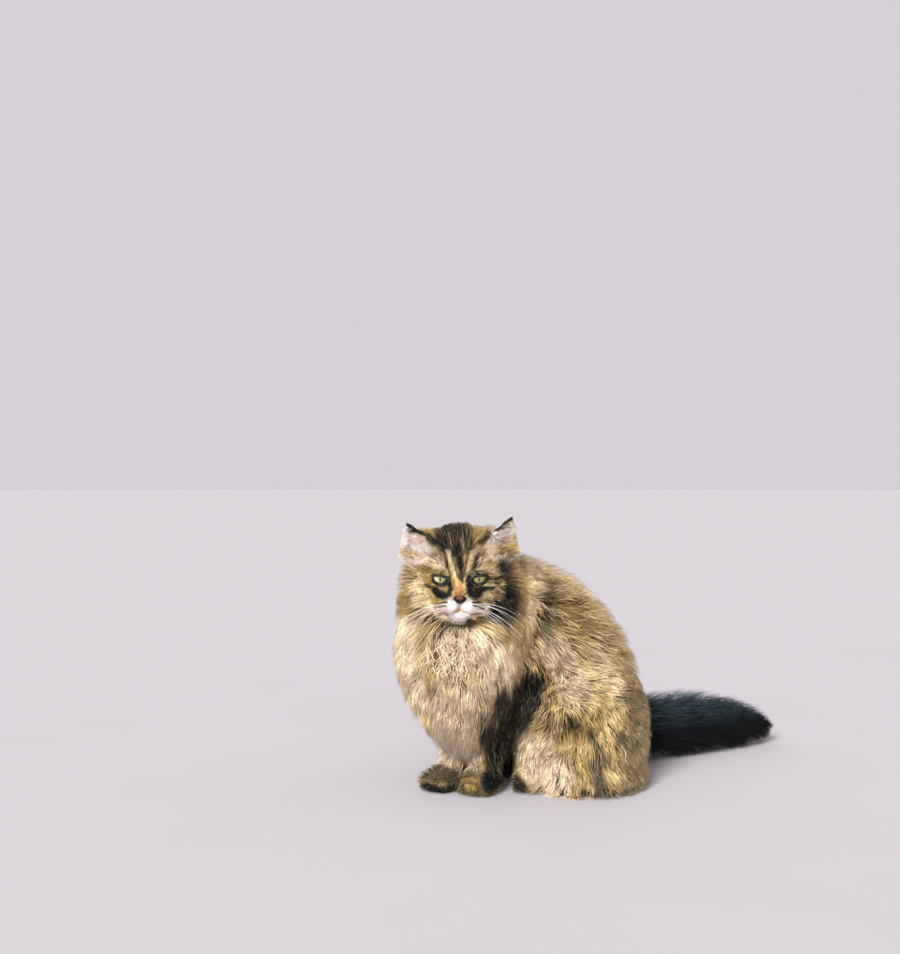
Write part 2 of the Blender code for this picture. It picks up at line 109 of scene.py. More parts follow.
# Flesh of the head from its centre: middle, half sizes
HEAD_MIDDLE_FLESH = (
    ((0.0, 0.014, 0.003), (0.056, 0.052, 0.045)),
    ((0.0, -0.007, 0.024), (0.042, 0.035, 0.031)),
    ((0.0, -0.012, -0.012), (0.050, 0.0315, 0.038)),
    ((0.0, -0.034, -0.011), (0.0120, 0.0195, 0.026)),
    ((0.0, -0.041, -0.052), (0.0160, 0.0140, 0.0108)),
    ((0.0, -0.026, -0.044), (0.024, 0.022, 0.018)),
)
HEAD_PAIRED_FLESH = (
    ((0.036, -0.002, -0.030), (0.024, 0.030, 0.026)),
    ((0.0112, -0.0465, -0.0405), (0.0130, 0.0138, 0.0110)),
    ((0.0200, -0.0390, -0.0400), (0.0120, 0.0120, 0.0100)),
    ((0.0255, -0.0295, 0.0105), (0.0165, 0.0130, 0.0085)),
    ((0.0330, -0.0265, -0.0240), (0.0180, 0.0175, 0.0140)),
)

# Ear from the head's centre, for the cat's left
EAR_INNER_BASE = Vector((0.031, 0.010, 0.036))
EAR_OUTER_BASE = Vector((0.073, 0.014, 0.022))
EAR_TIP = Vector((0.0695, 0.006, 0.0715))
RIGHT_EAR_DROP = 0.008
EAR_CUP = 0.013
EAR_FLESH = (0.0050, 0.0030, 0.0018)

# Runs of flesh: back from the forelegs, to the left, up, and radius
SPINE = (
    (-0.010, 0.010, 0.255, 0.048),
    (0.040, 0.006, 0.232, 0.062),
    (0.090, 0.004, 0.198, 0.082),
    (0.135, 0.002, 0.156, 0.092),
    (0.162, 0.000, 0.110, 0.092),
    (0.170, 0.000, 0.080, 0.078),
)
CHEST = (
    (-0.030, 0.018, 0.232, 0.052),
    (-0.032, 0.016, 0.196, 0.060),
    (-0.024, 0.012, 0.160, 0.057),
    (-0.010, 0.006, 0.128, 0.048),
)
FORELEG = {
    1: (
        (0.020, 0.030, 0.135, 0.027),
        (0.014, 0.024, 0.085, 0.020),
        (0.010, 0.021, 0.045, 0.017),
        (0.004, 0.022, 0.022, 0.016),
    ),
    -1: (
        (0.004, -0.030, 0.135, 0.027),
        (-0.004, -0.024, 0.085, 0.020),
        (-0.010, -0.021, 0.045, 0.017),
        (-0.018, -0.020, 0.022, 0.016),
    ),
}
THROAT = (Vector((0.004, 0.034, -0.052)), (0.052, 0.044, 0.042))
BELLY = ((0.070, 0.0, 0.112), (0.056, 0.060, 0.050))

# Forepaws: back, left and the way the toes point
FOREPAW = {1: (-0.0066, 0.0279, math.radians(34)), -1: (-0.0345, -0.0183, math.radians(50))}
FOREPAW_SIZE = (0.0225, 0.0285, 0.0205)
TOE_SIZE = (0.0068, 0.0112, 0.0104)
TOE_SPACING = 0.0118
TOE_REACH = 0.0215
TOE_ARC = 0.0042

# Haunch and thigh: back, left, up and half sizes; hind paw: back, left, up and radius
HAUNCH = (0.135, 0.0780, 0.092, (0.066, 0.082, 0.074))
THIGH = (0.122, 0.0800, 0.056, (0.072, 0.078, 0.052))
HIND_PAW = ((0.040, 0.0660, 0.016, 0.0150), (0.082, 0.072, 0.017, 0.016), (0.125, 0.078, 0.019, 0.019))

# Tail, from the forelegs' own ground point: to the left, back, up and radius
TAIL = (
    (0.170, 0.134, 0.060, 0.018),
    (0.232, 0.160, 0.046, 0.014),
    (0.300, 0.190, 0.044, 0.013),
    (0.370, 0.226, 0.042, 0.011),
    (0.427, 0.257, 0.035, 0.009),
    (0.458, 0.274, 0.030, 0.007),
)

# Where the lids part, from the eye's middle
LID_HALF_WIDTH = 0.0094
UPPER_LID_RISE = 0.0033
LOWER_LID_FALL = 0.0073
LID_SLANT = math.radians(9)
UPPER_LID_FLATNESS = 2.8

# Marks seen from the front, later ones over earlier ones: kind, half width in metres, strength, and
# picture points along the mark
FACE_MARKS = (
    ("grey", 0.0260, 0.45, ((446, 552), (474, 552))),
    ("stripe", 0.0300, 0.30, ((428, 562), (452, 552), (484, 558))),
    ("stripe", 0.0220, 0.25, ((424, 566), (420, 585))),
    ("stripe", 0.0220, 0.30, ((490, 588), (494, 606))),
    ("ochre", 0.0090, 0.85, ((423, 527), (430.5, 539))),
    ("ochre", 0.0095, 0.80, ((481, 525), (478.5, 538))),
    ("white", 0.0150, 1.00, ((408, 529), (406, 543))),
    ("white", 0.0130, 0.95, ((504, 528), (496, 541))),
    ("white", 0.0110, 0.85, ((412, 538), (424, 548))),
    ("cream", 0.0080, 0.85, ((499, 545), (490, 550))),
    ("ochre", 0.0070, 0.80, ((401, 550), (409, 552))),
    ("white", 0.0055, 0.85, ((403, 559.2), (420, 560))),
    ("ochre", 0.0060, 0.70, ((503, 547), (512, 548.2))),
    ("white", 0.0046, 0.80, ((497, 556.5), (516, 559))),
    ("soot", 0.0046, 1.00, ((404.6, 523.2), (411, 526), (418.5, 529.8), (426, 535), (432.5, 542))),
    ("soot", 0.0062, 0.95, ((423.3, 532), (432.8, 542.4))),
    ("soot", 0.0046, 1.00, ((511.8, 517.6), (504, 523), (496, 528.4), (488.6, 534.6), (482.6, 542))),
    ("soot", 0.0062, 0.95, ((490, 532), (481.7, 542.5))),
    ("soot", 0.0185, 1.00, ((443, 526), (453, 527), (463, 527))),
    ("soot", 0.0120, 1.00, ((439, 533), (444, 546))),
    ("soot", 0.0125, 1.00, ((453, 534), (457, 551))),
    ("soot", 0.0100, 0.95, ((466, 531), (470, 546))),
    ("soot", 0.0058, 0.95, ((457, 548), (460.5, 565))),
    ("soot", 0.0040, 0.95, ((460.5, 563), (461.5, 581))),
    ("cream", 0.0011, 0.55, ((448, 531), (451, 545))),
    ("cream", 0.0010, 0.50, ((463, 532), (464, 548))),
    ("soot", 0.0028, 0.90, ((443, 543), (444, 553), (446.2, 565.4), (449.1, 577))),
    ("soot", 0.0034, 0.95, ((479.5, 554), (474.9, 567.3), (471.1, 577))),
    ("soot", 0.0018, 0.80, ((484, 558), (479, 568))),
    ("soot", 0.0018, 0.80, ((450.5, 550), (455.3, 566.4), (457.7, 577))),
    ("soot", 0.0018, 0.80, ((469.2, 553), (466.3, 565.4), (464.4, 575))),
    ("soot", 0.0014, 0.60, ((437, 545), (439, 555), (442, 566))),
    ("soot", 0.0016, 0.60, ((488, 549), (483, 556))),
    ("soot", 0.0014, 0.55, ((492, 560), (486, 566))),
    ("cream", 0.0020, 0.80, ((447.2, 551), (452, 567.3), (453.6, 576))),
    ("cream", 0.0018, 0.80, ((473, 552), (469.5, 564), (467.5, 573))),
    ("cream", 0.0060, 0.60, ((426, 561), (435, 565.5), (443.0, 571))),
    ("cream", 0.0036, 0.55, ((479.5, 569.5), (488, 569.5), (498, 571))),
    ("stripe", 0.0010, 0.55, ((422, 566), (432, 567.4))),
    ("stripe", 0.0010, 0.60, ((427, 561), (438, 563.5))),
    ("soot", 0.0014, 0.95, ((430, 576.0), (438, 575.6), (448, 578.2))),
    ("soot", 0.0017, 1.00, ((471, 578.2), (479, 575.2), (490, 575.8))),
    # Painted shade from the brow over the right eye
    ("stripe", 0.0022, 0.70, ((467.5, 573.5), (475, 572.0), (488, 572.4))),
    ("soot", 0.0036, 1.00, ((448.0, 579), (449.8, 588), (447, 597))),
    ("soot", 0.0038, 1.00, ((449.4, 586), (448.0, 592), (445, 596))),
    ("soot", 0.0066, 1.00, ((436, 590.8), (442, 594.4), (447, 596))),
    ("soot", 0.0028, 0.90, ((424, 584), (431, 587.4), (438.6, 592.2))),
    ("soot", 0.0056, 1.00, ((470.4, 578.5), (470.8, 588), (472.5, 597))),
    ("soot", 0.0068, 1.00, ((474, 595), (481, 592), (490, 588.5))),
    ("soot", 0.0042, 0.95, ((488, 587.6), (498, 584))),
    ("soot", 0.0028, 0.70, ((475, 598), (482, 604.5))),
    ("cream", 0.0020, 0.75, ((486, 584.5), (497, 585.0), (502.7, 592.5), (499, 603))),
    ("grey", 0.0080, 0.45, ((489, 596), (496, 599))),
    ("stripe", 0.0016, 0.70, ((481, 597), (491, 601), (499, 608))),
    ("stripe", 0.0012, 0.60, ((487, 592), (495, 594), (499, 600))),
    ("soot", 0.0024, 0.95, ((486.5, 578.6), (497.9, 578.3), (509.4, 574))),
    ("soot", 0.0030, 1.00, ((473.0, 585.5), (479, 588.2), (486, 588.4))),
    ("ochre", 0.0024, 0.80, ((440.0, 587.2), (444.0, 588.0))),
    ("brick", 0.0018, 0.60, ((440.0, 587.4), (445.6, 588.2))),
    ("ochre", 0.0020, 1.00, ((453.0, 579.5), (453.6, 586))),
    ("ochre", 0.0024, 0.90, ((424, 577), (430.5, 578))),
    ("ochre", 0.0012, 0.60, ((475.5, 586.8), (479, 587.1))),
    ("brick", 0.0036, 0.60, ((459.2, 583), (459.6, 588))),
    ("brick", 0.0064, 0.95, ((459.4, 589), (459.8, 596))),
    ("cream", 0.0090, 0.90, ((432, 610), (446, 616))),
    ("cream", 0.0080, 0.85, ((474, 615), (486, 609))),
    ("white", 0.0100, 1.00, ((453.4, 604), (447.5, 608))),
    ("white", 0.0100, 1.00, ((466.0, 604), (471.5, 608))),
    ("white", 0.0100, 1.00, ((452.5, 615.8), (459.5, 616.2), (466.5, 615.8))),
    ("brick", 0.0014, 0.28, ((455.2, 610.8), (459.7, 608.4), (464.0, 610.8))),
    ("stripe", 0.0007, 0.60, ((459.7, 603.6), (459.7, 608.2))),
    ("stripe", 0.0007, 0.45, ((453.6, 611.6), (459.7, 609.0), (465.6, 611.6))),
    # Painted shade under the chin
    ("stripe", 0.0030, 0.80, ((447, 625), (456, 628.0), (466, 628.0))),
    ("soot", 0.0014, 0.95, ((432.8, 603.8), (441, 602.2), (446.8, 602.4))),
    ("soot", 0.0014, 0.85, ((434.0, 607.0), (441, 605.6), (446.0, 605.8))),
    ("soot", 0.0014, 0.95, ((472.5, 602.2), (479, 602.4), (487.0, 604.6))),
    ("soot", 0.0014, 0.85, ((473.5, 605.4), (479, 606.0), (485.5, 608.6))),
    ("soot", 0.0065, 1.00, ((425.6, 617), (425.0, 625))),
    ("soot", 0.0050, 0.60, ((410, 609), (423.3, 611.3))),
    # Painted shade under the chin
    ("soot", 0.0070, 1.00, ((472.5, 622.5), (483, 627))),
    ("soot", 0.0040, 0.85, ((445, 622), (449, 625.5))),
    # Partly dark fur, partly painted shade on the side of the face away from the light
    ("soot", 0.0150, 1.00, ((508, 566), (514, 580), (511, 598.9), (504, 612))),
    ("soot", 0.0130, 1.00, ((517, 567), (520, 585), (517, 602), (509, 617))),
    ("stripe", 0.0070, 0.45, ((397.4, 566), (393.6, 594.1), (398, 616))),
    ("stripe", 0.0050, 0.40, ((411, 562), (405, 590), (409, 604))),
    ("cream", 0.0140, 0.65, ((413, 583), (420, 602))),
)
CHEST_MARKS = (
    ("ochre", 0.0150, 0.50, ((399, 590), (403, 616), (412, 634))),
    ("grey", 0.0240, 0.75, ((442, 640), (468, 645))),
    ("ochre", 0.0130, 0.70, ((413, 630), (418, 645))),
    ("ochre", 0.0140, 0.60, ((476, 636), (480, 652))),
    ("ochre", 0.0150, 0.55, ((447, 672), (470, 671))),
    # Pale fur, lifted further as painted light on the bib's bulge that faces away from the key light
    ("cream", 0.0300, 1.00, ((486, 652), (504, 668), (496, 692))),
    ("cream", 0.0130, 0.60, ((533, 558), (539, 590), (532, 616))),
    ("cream", 0.0200, 0.95, ((397, 630), (400, 670), (414, 708))),
    ("cream", 0.0180, 0.75, ((470, 692), (448, 706), (430, 712))),
    # Pale fur, lifted further as painted light on the lower bib
    ("cream", 0.0220, 0.60, ((446, 690), (462, 700), (478, 712))),
    ("stripe", 0.0110, 0.60, ((506, 693), (493, 711), (484, 728))),
)
# These are repeated on the side that is turned away
FLANK_MARKS = (
    # Painted shade: black and brown along the folds behind the shoulder and between foreleg and haunch,
    # on both sides
    ("soot", 0.0120, 0.85, ((532, 686), (512, 705), (494, 722), (490, 738))),
    ("stripe", 0.0140, 0.80, ((557, 606), (554, 628))),
    ("stripe", 0.0070, 0.70, ((553, 630), (547.5, 647.8), (543, 668))),
    ("soot", 0.0190, 1.00, ((533, 684), (524, 707), (512, 734), (499, 753), (495, 772))),
    ("soot", 0.0150, 1.00, ((507, 700), (508, 725), (507, 750), (505, 776))),
    ("ochre", 0.0320, 0.40, ((572, 588), (600, 612), (622, 645))),
    ("stripe", 0.0320, 0.40, ((570, 588), (598, 612), (624, 650), (638, 690))),
    # Painted shade: brown along the fold behind the shoulder
    ("stripe", 0.0160, 0.85, ((557, 582), (555, 606), (552, 630))),
    ("stripe", 0.0130, 0.70, ((484, 722), (502, 734))),
    ("cream", 0.0280, 0.75, ((563, 652), (576, 686))),
    ("cream", 0.0180, 0.45, ((604, 650), (618, 690))),
    ("ochre", 0.0220, 0.75, ((546, 738), (566, 742))),
    ("stripe", 0.0120, 0.70, ((549, 727), (560, 730))),
    ("soot", 0.0100, 0.95, ((568, 725), (575, 727))),
    ("stripe", 0.0070, 0.75, ((589, 731), (594, 738))),
    ("cream", 0.0330, 1.00, ((528, 757), (552, 782))),
    ("soot", 0.0110, 1.00, ((624, 738), (638, 748))),
    # Painted shade on the side of the haunch away from the light
    ("stripe", 0.0300, 0.65, ((643, 700), (641, 748), (638, 790))),
    ("stripe", 0.0095, 1.00, ((596, 764), (602, 792))),
    ("stripe", 0.0050, 0.90, ((592, 736), (600, 752), (612, 768))),
    ("stripe", 0.0110, 0.65, ((602, 796), (620, 799), (636, 796))),
)
FORELEG_MARKS = (
    # Pale legs, lifted further with white and cream as painted light where they sit in shade
    ("cream", 0.0210, 0.95, ((441, 722), (446, 764))),
    ("cream", 0.0200, 1.00, ((463, 730), (469, 766))),
    ("white", 0.0150, 0.35, ((440, 736), (446, 760))),
    ("white", 0.0150, 0.35, ((464, 738), (468, 764))),
    # Partly dark fur, partly painted shade down the outer side of the left foreleg, away from the light
    ("soot", 0.0170, 1.00, ((491, 734), (499, 768))),
    ("stripe", 0.0240, 0.90, ((429, 782), (452, 784))),
    ("stripe", 0.0120, 0.75, ((424, 775), (438, 771), (450, 777))),
    ("stripe", 0.0060, 0.90, ((446, 774), (434, 778))),
    ("stripe", 0.0100, 0.60, ((431, 770), (445, 771), (456, 776))),
    ("stripe", 0.0230, 0.85, ((466, 785), (484, 786))),
    ("soot", 0.0110, 1.00, ((426, 788), (452, 791))),
    ("ochre", 0.0090, 0.50, ((466, 779), (470, 784))),
    ("stripe", 0.0030, 0.80, ((462, 776), (470, 774), (480, 777))),
    ("stripe", 0.0030, 0.80, ((461, 784), (468, 781), (477, 784))),
    ("soot", 0.0060, 0.85, ((462, 794), (476, 797))),
    # Partly dark fur, partly painted shade on the outer side of the left paw, away from the light
    ("soot", 0.0190, 1.00, ((491, 782), (503, 786))),
    ("soot", 0.0150, 0.95, ((511.0, 781), (519, 790))),
)
# Painted shade laid as black fur in the fold between foreleg and haunch: back, left and up, and its half
# width
FOLD_SHADE = ((0.048, 0.060, 0.147), (0.026, 0.047, 0.124), (0.016, 0.050, 0.060), (0.012, 0.050, 0.020))
FOLD_SHADE_WIDTH = 0.019
# Brown along the back: half width, strength, and its height over the flesh
BACK_STRIPE = (0.034, 0.55, 0.036)
# Dark line below the lids: half width, how far out from the lids' edge, and the edge's first point
LID_RING = (0.0023, 1.14, 34)
LID_STEPS = 72
# A mark is whole up to the first share of its half width and gone at the second
MARK_EDGE = (0.60, 1.25)
# Marks reach further in depth than across
LESS_DEEP = np.array((1.0, 0.4, 1.0))
KINDS = ("stripe", "cream", "ochre", "soot", "white", "grey", "brick")

# Noise that mottles the ground colour: colour, scale, detail, low and high end, most
GROUND_PATCHES = (
    ("sand", 24.0, 3.0, 0.36, 0.62, 1.0),
    ("ochre", 15.0, 2.0, 0.52, 0.70, 0.50),
    ("stripe", 55.0, 2.0, 0.58, 0.76, 0.45),
)
# What a tuft's own tone turns the ground to: colour, where it starts and is full, most
GROUND_TONES = (
    ("sand", 0.30, 1.0, 0.55),
    ("ochre", -0.30, -1.0, 0.55),
    ("stripe", -0.60, -1.0, 0.45),
)

# How far the skin sinks behind the open eye, and the lids and their rims stand over the eyeball
EYE_SINK = 0.0025
LID_LIFT = 0.0011
LID_LINE_LIFT = 0.0004
# Skin within so many radii of an eye belongs to its lids, and is dark between these shares of them
EYE_AREA = 1.8
EYE_RING = (1.45, 1.85)
# Tufts stop at this share of the upper and lower lid, and of the nose leather
UPPER_CLEAR = 0.90
LOWER_CLEAR = 1.08
NOSE_CLEAR = 1.05
# Clear bulge of the eyeball: share of its radius and height; pupil: half width and half height
EYE_BULGE = (0.78, 0.0007)
PUPIL = (0.0011, 0.0044)
# Iris colours: streaks; a pale wedge of painted sunlight on the right eye; the left eye darkened as
# painted shade; olive brown round the pupil; painted shade from the upper lid over the top; the pupil
EYE_COLOURS = {
    "streak": (0.60, 0.56, 0.28), "sunlit": (0.72, 0.62, 0.42), "shaded": (0.10, 0.12, 0.03),
    "inner": (0.22, 0.150, 0.018), "upper": (0.070, 0.066, 0.016), "pupil": (0.004, 0.004, 0.003),
}

# Nose leather: half sizes, middle, and how far the skin behind it is pressed in
LEATHER = Vector((0.0084, 0.0056, 0.0056))
LEATHER_MIDDLE = NOSE + Vector((0.0, 0.0014, -0.0010))
NOSE_SEAT = 0.006
CHIN_BELOW_NOSE = 0.0205

# The mouth seen from the front, from the head's centre: across and up
MOUTH_HALF = ((0.0, -0.0380), (0.0, -0.0458), (0.0040, -0.0482), (0.0095, -0.0500), (0.0170, -0.0515))
MOUTH = tuple(tuple((side * across, up) for across, up in MOUTH_HALF) for _, side in SIDES)
MOUTH_WIDTH = 0.0014
MOUTH_DEPTH = 0.0024
BARE_MOUTH = 0.0010

# The short-furred mask of the face, from the head's centre
MASK_HALF_WIDTH = 0.047
MASK_RISE = 0.050
MASK_FALL = 0.064
MASK_FRONT = -0.004

# Closed surfaces: size of the voxels and rounds of smoothing
OUTLINE_SURFACE = (0.0029, 3)
SKIN_SURFACE = (0.0015, 5)
SKIN_TRIANGLES = 120000
UNWRAP_TRIANGLES = 14000
# The skin is finest round this point and coarser between these distances from it
FINE_SKIN = HEAD + Vector((0.0, -0.035, -0.005))
FINE_SKIN_REACH = (0.045, 0.110)
# Below this height the outline rests on the floor and is no surface of the coat
RESTING = 0.0035
# Least heights over the floor: the skin, where tufts are cut or lifted, and any of their points
SKIN_GAP = 0.0006
FLOOR_GAP = 0.0012
FLOOR_LIFT = 0.0016
LEAST_HEIGHT = 0.0010

# Each part of the coat: its slot, the flesh under it and which face of that, number of tufts, least
# length, length for each metre of the coat's depth, breadth, spacing of the locks, how far a lock draws
# together, wander of the lie, turn of a lock and of a tuft, and how early a tuft climbs. Then how deep
# tufts lie, the share that stands out, how far tones vary, how dark the roots are, partly as painted
# shade in the partings between locks, and how pale the tips are.
Coat = collections.namedtuple(
    "Coat", "slot groups where count least by_depth broad lock together wander lock_turn own_turn climb "
    "under strays calm darken pale", defaults=(0.34, 0.08, 1.0, 0.44, 0.44))
COATS = {
    "face": Coat("coat_face", ("head",), "front", 12000, 0.0038, 0.70, 0.46, 0.0035, 0.35, 0.06, 0.08,
                 0.12, 2.0, darken=0.80, pale=0.10),
    "cheeks": Coat("coat_face", ("head",), "rest", 11000, 0.0080, 1.05, 0.72, 0.0070, 0.50, 0.20, 0.14,
                   0.18, 1.7, under=0.35, strays=0.12),
    "ears": Coat("coat_pale", ("ear_left", "ear_right"), "", 3600, 0.0045, 0.60, 0.50, 0.0040, 0.40,
                 0.05, 0.10, 0.14, 1.8, calm=0.55, darken=0.95, pale=0.30),
    "ruff": Coat("coat_golden", ("neck",), "", 11000, 0.0100, 1.00, 0.86, 0.0105, 0.48, 0.28, 0.18,
                 0.20, 1.6, strays=0.16),
    "bib": Coat("coat_pale", ("chest",), "", 11000, 0.0100, 1.00, 0.86, 0.0110, 0.52, 0.26, 0.22,
                0.22, 1.6, strays=0.12, darken=0.76, pale=0.60),
    "back": Coat("coat_golden", ("trunk",), "", 10500, 0.0095, 0.95, 0.92, 0.0100, 0.42, 0.24, 0.16,
                 0.22, 1.5),
    "haunch_left": Coat("coat_golden", ("haunch_left",), "", 11600, 0.0090, 0.95, 0.88, 0.0105, 0.44,
                        0.26, 0.18, 0.22, 1.55),
    "haunch_right": Coat("coat_golden", ("haunch_right",), "", 4200, 0.0100, 1.05, 1.20, 0.0120, 0.44,
                         0.26, 0.18, 0.22, 1.55),
    "forelegs": Coat("coat_pale", ("foreleg_left", "foreleg_right"), "", 4400, 0.0085, 1.00, 0.80,
                     0.0075, 0.50, 0.18, 0.14, 0.16, 1.7, under=0.45, darken=0.95, pale=0.60),
    "paws": Coat("coat_dark", ("forepaw_left", "forepaw_right", "hind_paw_left", "hind_paw_right"), "",
                 4200, 0.0045, 0.75, 0.58, 0.0045, 0.45, 0.10, 0.12, 0.14, 1.8, under=0.9,
                 darken=0.50, pale=0.15),
    "tail": Coat("coat_black", ("tail",), "", 7400, 0.0170, 1.20, 1.10, 0.0100, 0.40, 0.18, 0.26, 0.34,
                 1.30, under=0.12, strays=0.20, calm=0.40, darken=0.25, pale=1.0),
}
# How far the lowest tufts of a part turn outwards along the floor
HANGING = {"haunch_left": 0.95, "haunch_right": 0.95, "back": 0.95, "tail": 0.20}
# Parts whose marks are drawn point by point along each tuft
CRISP = ("face", "ears", "paws")

# A tuft: points along it, its half width at each as a share of its broadest, and how flat it is
TUFT_STEPS = 4
TUFT_PROFILE = np.array((0.85, 1.00, 0.70, 0.0))
TUFT_FLATNESS = 0.55
# How gradually the lie turns from one part's way to the next part's
LIE_BLEND = 0.010
# Tufts rise over the outline near the floor: between these heights, by up to this much
NEAR_FLOOR = (0.055, 0.015)
FLOOR_RISE = 0.005
HANGING_RISE = 0.0015
HIGHEST_STRAY = 0.006
# Heights between which hanging tufts turn outwards, and the bib's turn straight down
HANGING_TURN = (0.034, 0.010)
BIB_TURN = (0.130, 0.095)
BIB_FALL = 0.9
# A step's least travel along the coat and most rise, as shares of it, and how closely it keeps level
LEAST_TRAVEL = 0.40
MOST_RISE = 1.2
LEVELNESS = 0.92
# The slow wander in the lie of the coat: draw, waves and their lengths
DRIFT_SEED = 5
DRIFT_WAVES = 8
DRIFT_LENGTHS = (0.030, 0.080)
# Small locks within the large ones: spacing and pull; and how the pull grows along a tuft
SMALL_LOCK = 0.45
SMALL_PULL = 0.7
PULL_POWER = 1.4
# How far tones differ between locks, small locks and tufts
TONES = (0.32, 0.28, 0.42)
# Side of a tuft's patch on the unwrapped skin, which takes in the skin within this reach of a part's own
PATCH = 0.003
MAP_REACH = 0.006
UNWRAP_ANGLE = math.radians(66)
UNWRAP_MARGIN = 0.005

# Long hair that fills each ear: number, draw, how far it sags and bends, and how far it may stand out
EAR_TUFTS = 520
EAR_SEED = 50
EAR_SAG = 0.15
EAR_BEND = 0.10
EAR_STANDS_OUT = 0.003

# Loose curls of the throat: number, draw, picture point, reach round it, points along each, lift
CURLS = 200
CURL_SEED = 60
CURLS_AT = (454, 648)
CURLS_REACH = 0.027
CURL_STEPS = 14
CURL_LIFT = 0.0022

# Whiskers: rows and columns on each pad, number over each eye, lengths along each, and draw
PAD_ROWS = 2
PAD_COLUMNS = 4
BROW_WHISKERS = 3
WHISKER_STEPS = 14
WHISKER_SEED = 31

# Where the lights come from, and how wide they are
KEY_FROM = Vector((-0.38, -0.82, 0.55))
KEY_WIDTH = math.radians(22)
FILL_FROM = Vector((0.05, -0.99, 0.08))
FILL_WIDTH = math.radians(50)
FLOOR_RADIUS = 40.0


def colour_setting(name, description, default):
    """A colour that the user can set."""
    return bpy.props.FloatVectorProperty(
        name=name, description=description, subtype="COLOR", size=3, default=default)


class CatCoat(bpy.types.PropertyGroup):
    """Colours and sizes of the coat."""

    golden: colour_setting("Golden", "Ground colour of the coat", (0.61, 0.395, 0.100))
    sand: colour_setting("Sand", "Paler patches of the ground colour", (0.88, 0.66, 0.30))
    ochre: colour_setting("Ochre", "Warm patches", (0.45, 0.270, 0.075))
    # Cream and white also serve as painted light on the shaded bib and legs
    cream: colour_setting("Cream", "Pale chest, legs and ear fur", (0.97, 0.80, 0.56))
    white: colour_setting("White", "Muzzle, chin and inside of the ears", (0.83, 0.74, 0.72))
    grey: colour_setting("Grey", "Greyish throat and cheek", (0.62, 0.52, 0.40))
    brick: colour_setting("Brick", "Short fur on the bridge of the nose", (0.68, 0.34, 0.145))
    # Stripe and soot also serve as painted shade in folds, under the chin and on sides turned from the
    # light
    stripe: colour_setting("Stripe", "Brown of the softer tabby marks", (0.105, 0.078, 0.040))
    soot: colour_setting("Soot", "Black of the crown, stripes, paws and tail", (0.009, 0.012, 0.014))
    # Painted sheen: bluish tips laid only on the top of the tail, where light catches it
    tail_sheen: colour_setting("Steel", "Bluish tips on top of the tail", (0.105, 0.150, 0.175))
    width: bpy.props.FloatProperty(
        name="Tuft width", description="Half width of a long tuft", unit="LENGTH", default=0.00048)
    wave: bpy.props.FloatProperty(
        name="Wave", description="Sideways wave of a lock", unit="LENGTH", default=0.0010)
    seed: bpy.props.IntProperty(name="Seed", description="Draw of the tufts", default=7)


class CatFace(bpy.types.PropertyGroup):
    """Colours and sizes of eyes, lids, nose and whiskers."""

    iris: colour_setting("Iris", "Yellow-green of the iris", (0.40, 0.38, 0.155))
    iris_rim: colour_setting("Iris rim", "Darker ring round the iris", (0.12, 0.11, 0.030))
    leather: colour_setting("Nose leather", "Brick of the nose", (0.105, 0.043, 0.024))
    rim: colour_setting("Lid rims", "Black of the lids and nose edge", (0.010, 0.008, 0.008))
    lid: bpy.props.FloatProperty(
        name="Lid rim", description="Half thickness of the lid rims", unit="LENGTH", default=0.0014)
    whisker: bpy.props.FloatProperty(
        name="Whisker", description="Half thickness of a whisker at its root", unit="LENGTH",
        default=0.00026)


class CatStage(bpy.types.PropertyGroup):
    """Floor, light and camera."""

    floor: colour_setting("Floor", "Pale floor", (0.462, 0.442, 0.457))
    air: colour_setting("Surroundings", "Pale light from all round", (0.67, 0.63, 0.67))
    key: bpy.props.FloatProperty(
        name="Key light", description="Strength of the main light", default=5.1)
    fill: bpy.props.FloatProperty(
        name="Fill light", description="Strength of the low light from the front", default=1.0)


def body_place(back, left, up):
    """A point given along the body's own length, side and height."""
    return FORELEGS + BACKWARD * back + LEFTWARD * left + Vector((0.0, 0.0, up))


def head_place(row, side=1):
    """A point given from the head's centre, mirrored for the cat's right."""
    return HEAD + Vector((side * row[0], row[1], row[2]))


def through(points, share):
    """A smooth curve through rows of numbers, read at a share of its length."""
    last = len(points) - 1
    place = min(share * last, last - 1e-6)
    first = int(place)
    t = place - first
    p0 = points[max(first - 1, 0)]
    p1 = points[first]
    p2 = points[first + 1]
    p3 = points[min(first + 2, last)]
    row = []
    for a, b, c, d in zip(p0, p1, p2, p3):
        bend = (2 * a - 5 * b + 4 * c - d) * t * t + (3 * b - a - 3 * c + d) * t ** 3
        row.append(0.5 * (2 * b + (c - a) * t + bend))
    return row


def run(points, steps):
    """Balls along a smooth curve, as masses."""
    rows = [through(points, step / steps) for step in range(steps + 1)]
    return [(Vector(row[:3]), (row[3],) * 3, 0.0) for row in rows]


def body_points(rows, side=1):
    """Points along the body, on its left or mirrored to its right."""
    return [body_place(back, left * side, up) for back, left, up in rows]


def body_run(rows, steps, side=1):
    """Balls along a curve given in the body's own directions."""
    points = [(*body_place(back, side * left, up), radius) for back, left, up, radius in rows]
    return run(points, steps)


def ear_corners(side):
    """The two corners of an ear's base and its tip."""
    drop = Vector((0.0, 0.0, RIGHT_EAR_DROP if side < 0 else 0.0))
    tip = head_place(EAR_TIP, side) - drop
    return head_place(EAR_INNER_BASE, side), head_place(EAR_OUTER_BASE, side), tip


